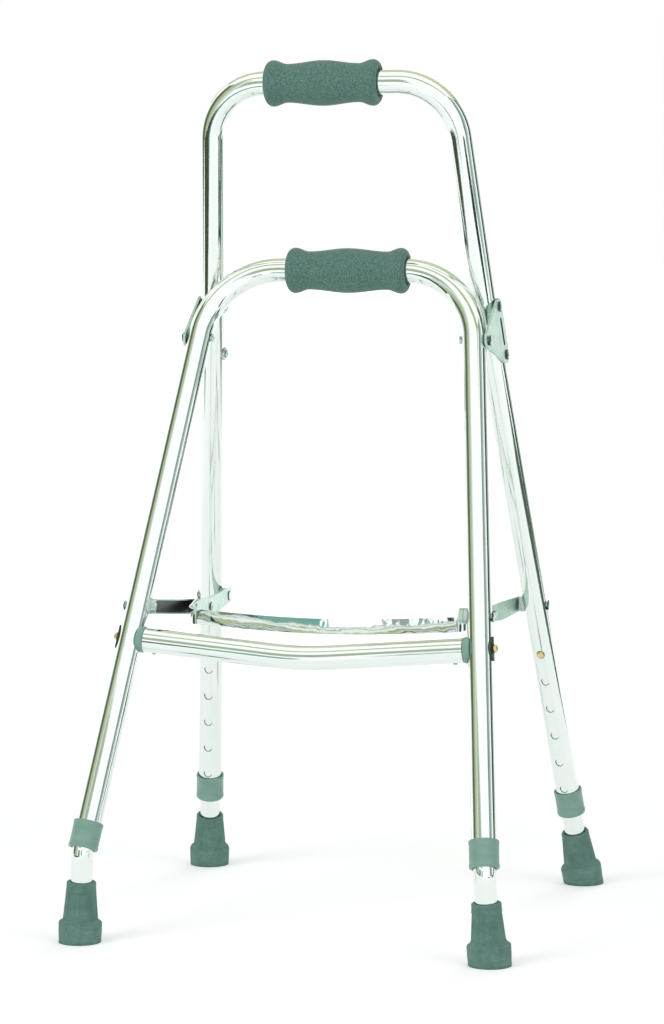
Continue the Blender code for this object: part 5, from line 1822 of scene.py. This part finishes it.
@dataclass
class SlidingLegs(Assembly):
    """The four extension tubes, with their rubber tips and snap buttons."""

    above_button: float = 0.016
    foot_turn_radius: float = 0.035
    tip_height: float = 0.0550
    base_radius: float = 0.0193
    base_height: float = 0.0190
    neck_radius: float = 0.0157
    rim_radius: float = 0.0131
    sole: float = 0.0080
    rib_count: int = 8
    rib_depth: float = 0.00045
    tip_sides: int = 96
    tip_smooth_angle: float = math.radians(38.0)
    button_proud: float = 0.0024
    leaf_thickness: float = 0.0008
    leaf_width: float = 0.0070
    leaf_reach: float = 0.0062
    leaf_length: float = 0.026
    leaf_bend: float = 0.0018

    def extension(self, name: str, row: ButtonRow, toe: Line) -> bpy.types.Object:
        """Make an extension tube with the hole that its button stands in."""
        leg = row.leg
        button = leg.at(row.height)
        low = toe.along(toe.at(0.0), self.sole + STOCK.fit)
        turns = [
            Turn(leg.along(button, self.above_button)),
            Turn(leg.along(button, 0.006)),
            Turn(leg.along(button, -0.006)),
            Turn(leg.at(LEGS.foot_turn_height), self.foot_turn_radius),
            Turn(low),
        ]
        tube = bent_tube(name, turns, STOCK.extension_radius, STOCK.extension_wall)
        bore = row.radius + STOCK.bore_play
        drill = cylinder("drill", bore, button + row.facing * 0.003, button + row.facing * 0.013)
        combine(tube, [drill], "DIFFERENCE")
        return lay_grain(soften(tube, TUBE_EDGE), turns)

    def tip_profile(self) -> list[tuple[float, float]]:
        """Return the stations of a rubber tip, from its socket over the rim down to below its sole."""
        bore = STOCK.extension_radius + STOCK.bore_play
        base, neck, rim = self.base_radius, self.neck_radius, self.rim_radius
        shoulder = self.base_height
        stations = [(0.0, self.sole), (bore, self.sole), (bore, self.tip_height - 0.0008)]
        stations += [(bore + 0.0006, self.tip_height), (rim - 0.0012, self.tip_height)]
        stations += [(rim - 0.0004, self.tip_height - 0.0004), (rim, self.tip_height - 0.0012)]
        stations += [(rim + 0.00005, self.tip_height - 0.0030), (rim - 0.00025, self.tip_height - 0.0036)]
        top = self.tip_height - 0.0045
        bottom = shoulder + 0.0026
        for part in range(9):
            height = top + (bottom - top) * part / 8
            stations.append((rim + (neck - rim) * (top - height) / (top - bottom), height))
        stations += [(neck + 0.0004, shoulder + 0.0012), (neck + 0.0014, shoulder + 0.0003)]
        stations += [(base - 0.0010, shoulder - 0.0002), (base - 0.0003, shoulder - 0.0008)]
        stations += [(base, shoulder - 0.0018), (base - 0.0001, 0.0100), (base - 0.0004, 0.0040)]
        stations += [(base - 0.0004, -base / 2), (0.0, -base / 2)]
        return stations

    def tip(self, name: str, toe: Line) -> bpy.types.Object:
        """Make a rubber tip with shallow flutes round its neck and its sole cut level with the floor."""
        tip = turned(name, self.tip_profile(), Matrix.Identity(4), self.tip_sides)
        width = self.tip_sides // self.rib_count
        top, bottom = self.tip_height - 0.0085, self.base_height + 0.0030
        with editing(tip):
            def on_flute(co: Vector, normal: Vector) -> bool:
                """Tell the faces of the neck that a flute is pressed into."""
                turn = math.degrees(math.atan2(co.y, co.x)) % 360.0
                part = (turn / 360.0 * self.rib_count) % 1.0
                outside = co.to_2d().length > STOCK.extension_radius + 0.0015
                return outside and bottom < co.z < top and 0.5 / width < part < 1.0 - 1.5 / width

            pick_faces(tip, on_flute)
            bpy.ops.mesh.inset(thickness=0.0004, depth=-self.rib_depth)
        smooth(tip, self.tip_smooth_angle)
        place(tip, aimed(toe.at(0.0), toe.direction))
        with editing(tip):
            bpy.ops.mesh.bisect(plane_co=(0.0, 0.0, 0.0), plane_no=(0.0, 0.0, 1.0), use_fill=True, clear_inner=True)
        return tip

    def clip(self, name: str, row: ButtonRow) -> bpy.types.Object:
        """Make a snap button on its bent leaf spring."""
        button, facing, leg = row.leg.at(row.height), row.facing, row.leg.direction
        head = STOCK.tube_radius + self.button_proud
        radius = row.radius
        turns = [
            Turn(button + facing * self.leaf_reach + leg * radius * 1.6),
            Turn(button + facing * self.leaf_reach - leg * radius * 1.6, radius),
            Turn(button - leg * self.leaf_length + facing * self.leaf_bend, self.leaf_bend * 0.6),
            Turn(button - leg * self.leaf_length - facing * self.leaf_bend, self.leaf_bend * 0.6),
            Turn(button - facing * self.leaf_reach),
        ]
        leaf = ribbon(name, rounded(turns, math.radians(12.0)), leg.cross(facing), self.leaf_width, self.leaf_thickness)
        profile = [
            (0.0, self.leaf_reach),
            (radius, self.leaf_reach),
            (radius, head - 0.0022),
            (radius * 0.97, head - 0.0016),
            (radius * 0.87, head - 0.0009),
            (radius * 0.68, head - 0.0004),
            (radius * 0.38, head - 0.0001),
            (0.0, head),
        ]
        knob = smooth(turned(name + "_knob", profile, aimed(button, facing)))
        return join(name, [smooth(leaf), knob])

    def build(self) -> None:
        """Make the pieces of all four legs."""
        for end, row, toe in (("rear", REAR_ROW, LEGS.rear), ("front", FRONT_ROW, LEGS.front_toe)):
            def leg(side: Side, end: str = end) -> str:
                """Name the body of a leg."""
                return f"{end}_leg_{side.word}"

            def button(side: Side, end: str = end) -> str:
                """Name the body of a leg's button."""
                return f"{end}_button_{side.word}"

            tube = self.extension(f"{end}_slider", row, toe)
            self.pair(tube, Slot.TUBE, leg, end + "_extension_{}")
            tip = self.tip(f"{end}_rubber", toe)
            self.pair(tip, Slot.RUBBER, leg, end + "_tip_{}")
            clip = self.clip(f"{end}_snap", row)
            self.pair(clip, Slot.BRASS, button, end + "_clip_{}")


# Studio


@dataclass(frozen=True)
class Card:
    """A card that only reflections see, as a studio hangs beside bright metal to give it edges.

    It spans two bearings, in degrees from -Y towards +X as seen from the walker, and runs from its near, low edge
    to its far, high one.
    """

    start: float
    end: float
    near: float
    far: float
    low: float
    high: float
    color: Color


def wall(start: float, end: float, low: float, high: float, color: Color, distance: float = 2.6) -> Card:
    """Return an upright card."""
    return Card(start, end, distance, distance, low, high, color)


def high_wall(start: float, end: float, color: Color) -> Card:
    """Return an upright card from the floor to above the walker, which the tubes mirror."""
    return wall(start, end, 0.0, 2.8, color)


def low_wall(start: float, end: float, color: Color) -> Card:
    """Return a low upright card close by, which the bail strip mirrors."""
    return wall(start, end, 0.0, 0.27, color, 1.3)


def flat_card(start: float, end: float, near: float, far: float, height: float, color: Color) -> Card:
    """Return a card that lies level at a height."""
    return Card(start, end, near, far, height, height, color)


BLACK_CLOTH = (0.03, 0.05, 0.045)
OLIVE_CLOTH = (0.115, 0.135, 0.07)
PALE_OLIVE = (0.50, 0.56, 0.38)
PALE_CARD = (0.72, 0.82, 0.75)
TEAL_CLOTH = (0.14, 0.24, 0.23)
TEAL_CARD = (0.22, 0.46, 0.40)
CEILING = 2.6
ON_FLOOR = 0.004

CARDS = (
    high_wall(-93.0, -84.0, (0.26, 0.33, 0.26)),
    high_wall(-84.0, -68.0, OLIVE_CLOTH),
    high_wall(-68.0, -62.0, (0.30, 0.34, 0.20)),
    high_wall(-62.0, -44.0, PALE_OLIVE),
    high_wall(-44.0, -33.0, PALE_CARD),
    high_wall(69.0, 74.0, (0.08, 0.13, 0.12)),
    high_wall(74.0, 86.0, (0.30, 0.42, 0.38)),
    high_wall(86.0, 96.0, (0.50, 0.62, 0.56)),
    high_wall(108.0, 126.0, BLACK_CLOTH),
    high_wall(126.0, 145.0, (0.50, 0.58, 0.52)),
    wall(-40.0, -5.0, 0.75, 1.8, (0.42, 0.50, 0.37)),
    flat_card(-70.0, -28.0, 1.15, 2.5, ON_FLOOR, (0.065, 0.08, 0.05)),
    flat_card(44.0, 66.0, 1.5, 2.5, ON_FLOOR, BLACK_CLOTH),
    flat_card(85.0, 119.0, 1.1, 2.5, ON_FLOOR, (0.09, 0.13, 0.10)),
    flat_card(-60.0, 60.0, 1.05, 1.60, CEILING, (0.48, 0.52, 0.28)),
    flat_card(120.0, 240.0, 0.50, 2.20, CEILING, (0.64, 0.68, 0.41)),
    flat_card(120.0, 240.0, 2.60, 3.60, CEILING, BLACK_CLOTH),
    low_wall(-30.2, -27.7, BLACK_CLOTH),
    low_wall(-27.7, -24.9, (0.24, 0.24, 0.18)),
    low_wall(-24.9, -23.5, (0.05, 0.13, 0.17)),
    low_wall(-23.5, -14.4, TEAL_CARD),
    low_wall(-7.2, -3.7, (0.36, 0.44, 0.40)),
    low_wall(-2.5, -1.1, BLACK_CLOTH),
    low_wall(-0.2, 1.4, TEAL_CLOTH),
    low_wall(2.1, 3.3, BLACK_CLOTH),
)


@dataclass(frozen=True)
class Lamp:
    """A square soft lamp: its place, its side and its share of the key lamp's power."""

    name: str
    place: tuple[float, float, float]
    size: float
    share: float


LAMPS = (
    Lamp("key_lamp", (-1.6, -2.4, 2.6), 1.6, 1.0),
    Lamp("fill_lamp", (2.2, -1.2, 2.2), 1.8, 0.45),
    Lamp("back_lamp", (0.4, 2.6, 2.4), 1.6, 0.45),
)


@dataclass
class Studio:
    """The pale floor, the white surround, the lamps, the reflection cards and the camera."""

    floor_size: float = 60.0
    floor_color: Color = (0.93, 0.95, 0.94)
    surround: float = 1.0
    fill: float = 0.44
    gleam: float = 1.16
    floor_lift: float = 0.30
    far_lift: float = 0.45
    floor_gleam: float = 0.28
    gleam_color: Color = (0.94, 1.0, 0.96)
    key_power: float = 38.0
    lamp_aim: tuple[float, float, float] = (0.0, 0.0, 0.35)
    far_start: float = 0.7
    far_slope: float = 0.4
    camera_place: tuple[float, float, float] = (0.87478, -3.14020, 0.65597)
    camera_bearing: float = 15.701
    camera_elevation: float = 5.013
    camera_roll: float = -0.109
    lens: float = 125.67
    cards: tuple[Card, ...] = CARDS

    def floor(self) -> None:
        """Lay the floor, which keeps the walker's shadow and is lifted to white for the camera and for metal."""
        bpy.ops.object.select_all(action="DESELECT")
        bpy.ops.mesh.primitive_plane_add(size=self.floor_size)
        floor = bpy.context.object
        floor.name = "studio_floor"
        paint = Paint("floor_white")
        paint.surface(Base_Color=self.floor_color, Roughness=0.9)
        path = paint.tree.nodes.new("ShaderNodeLightPath")
        camera = Sock(paint.tree, path.outputs["Is Camera Ray"])
        glossy = Sock(paint.tree, path.outputs["Is Glossy Ray"])
        away = paint.node("ShaderNodeVectorMath", {"operation": "LENGTH"}, {0: paint.spot()}, "Value")
        far = ((away - self.far_start) * self.far_slope).clamp() * self.far_lift
        strength = camera * (far + self.floor_lift) + glossy * (far + self.floor_gleam)
        tint = paint.mix(camera, self.gleam_color, (1.0, 1.0, 1.0))
        lift = paint.node("ShaderNodeEmission", {}, {"Color": tint, "Strength": strength})
        body = Sock(paint.tree, paint.shader.outputs[0])
        both = paint.node("ShaderNodeAddShader", {}, {0: body, 1: lift})
        paint.tree.links.new(both.socket, paint.tree.nodes["Material Output"].inputs[0])
        floor.data.materials.append(paint.material)

    def world(self) -> None:
        """Fill the surround with white for the camera and for metal, and with a softer light for the rest."""
        world = bpy.data.worlds.new("white_studio")
        world.use_nodes = True
        bpy.context.scene.world = world
        tree = world.node_tree
        path = tree.nodes.new("ShaderNodeLightPath")
        camera = Sock(tree, path.outputs["Is Camera Ray"])
        clear = Sock(tree, path.outputs["Is Transmission Ray"])
        glossy = Sock(tree, path.outputs["Is Glossy Ray"])
        seen = (camera + clear).clamp() * (self.surround - self.fill)
        strength = seen + glossy * (self.gleam - self.fill) + self.fill
        background = tree.nodes["Background"]
        background.inputs["Color"].default_value = (1.0, 1.0, 1.0, 1.0)
        tree.links.new(strength.socket, background.inputs["Strength"])

    def hang(self, lamp: Lamp) -> None:
        """Hang a lamp that looks at the middle of the walker."""
        data = bpy.data.lights.new(lamp.name, "AREA")
        data.shape = "SQUARE"
        data.size = lamp.size
        data.energy = self.key_power * lamp.share
        made = bpy.data.objects.new(lamp.name, data)
        made.location = lamp.place
        ahead = Vector(self.lamp_aim) - Vector(lamp.place)
        made.rotation_euler = ahead.to_track_quat("-Z", "Y").to_euler()
        made.visible_glossy = False
        bpy.context.scene.collection.objects.link(made)

    def card(self, number: int, card: Card) -> None:
        """Stand, lay or hang one reflection card."""
        turn = math.radians((card.start + card.end) / 2)
        half = math.radians((card.end - card.start) / 2)
        out = Vector((math.sin(turn), -math.cos(turn), 0.0))
        middle = out * (card.near + card.far) / 2 + Z_AXIS * (card.low + card.high) / 2
        width = (card.near + card.far) * math.tan(half)
        rise = out * (card.far - card.near) + Z_AXIS * (card.high - card.low)
        bpy.ops.object.select_all(action="DESELECT")
        bpy.ops.mesh.primitive_plane_add(size=1.0)
        made = bpy.context.object
        made.name = f"studio_card_{number}"
        stretch = Matrix.Diagonal((width, rise.length, 1.0, 1.0))
        place(made, frame_of(middle, Z_AXIS.cross(out), rise.normalized()) @ stretch)
        paint = Paint(f"card_{number}")
        glow = paint.node("ShaderNodeEmission", {}, {"Color": (*card.color, 1.0), "Strength": 1.0})
        paint.tree.links.new(glow.socket, paint.tree.nodes["Material Output"].inputs[0])
        made.data.materials.append(paint.material)
        made.visible_camera = False
        made.visible_diffuse = False
        made.visible_shadow = False
        made.visible_transmission = False
        made.visible_volume_scatter = False

    def camera(self) -> None:
        """Set the camera where the photograph was taken from."""
        turn, fall, roll = (math.radians(a) for a in (self.camera_bearing, self.camera_elevation, self.camera_roll))
        ahead = Vector((-math.sin(turn) * math.cos(fall), math.cos(turn) * math.cos(fall), -math.sin(fall)))
        level = Vector((math.cos(turn), math.sin(turn), 0.0))
        top = level.cross(ahead)
        right = level * math.cos(roll) + top * math.sin(roll)
        data = bpy.data.cameras.new("photo_camera")
        data.lens = self.lens
        data.clip_start, data.clip_end = 0.1, 100.0
        camera = bpy.data.objects.new("photo_camera", data)
        camera.matrix_world = frame_of(Vector(self.camera_place), right, right.cross(ahead))
        bpy.context.scene.collection.objects.link(camera)
        bpy.context.scene.camera = camera

    def build(self) -> None:
        """Set up the studio."""
        self.floor()
        self.world()
        for lamp in LAMPS:
            self.hang(lamp)
        for number, card in enumerate(self.cards):
            self.card(number, card)
        self.camera()
        bpy.context.scene.view_settings.view_transform = "Standard"


def main() -> None:
    """Build the sub-assemblies in order, then the studio, and report each piece."""
    logging.basicConfig(level=logging.INFO, format="%(name)s: %(message)s")
    finishes = make_finishes()
    for kind in (BentFrames, FoamGrips, FrameHinge, Crossbar, FoldingLinkage, SlidingLegs):
        assembly = kind(finishes)
        assembly.build()
        for name in assembly.made:
            LOG.info("%s: %s", kind.__name__, name)
    Studio().build()


if __name__ == "__main__":
    main()
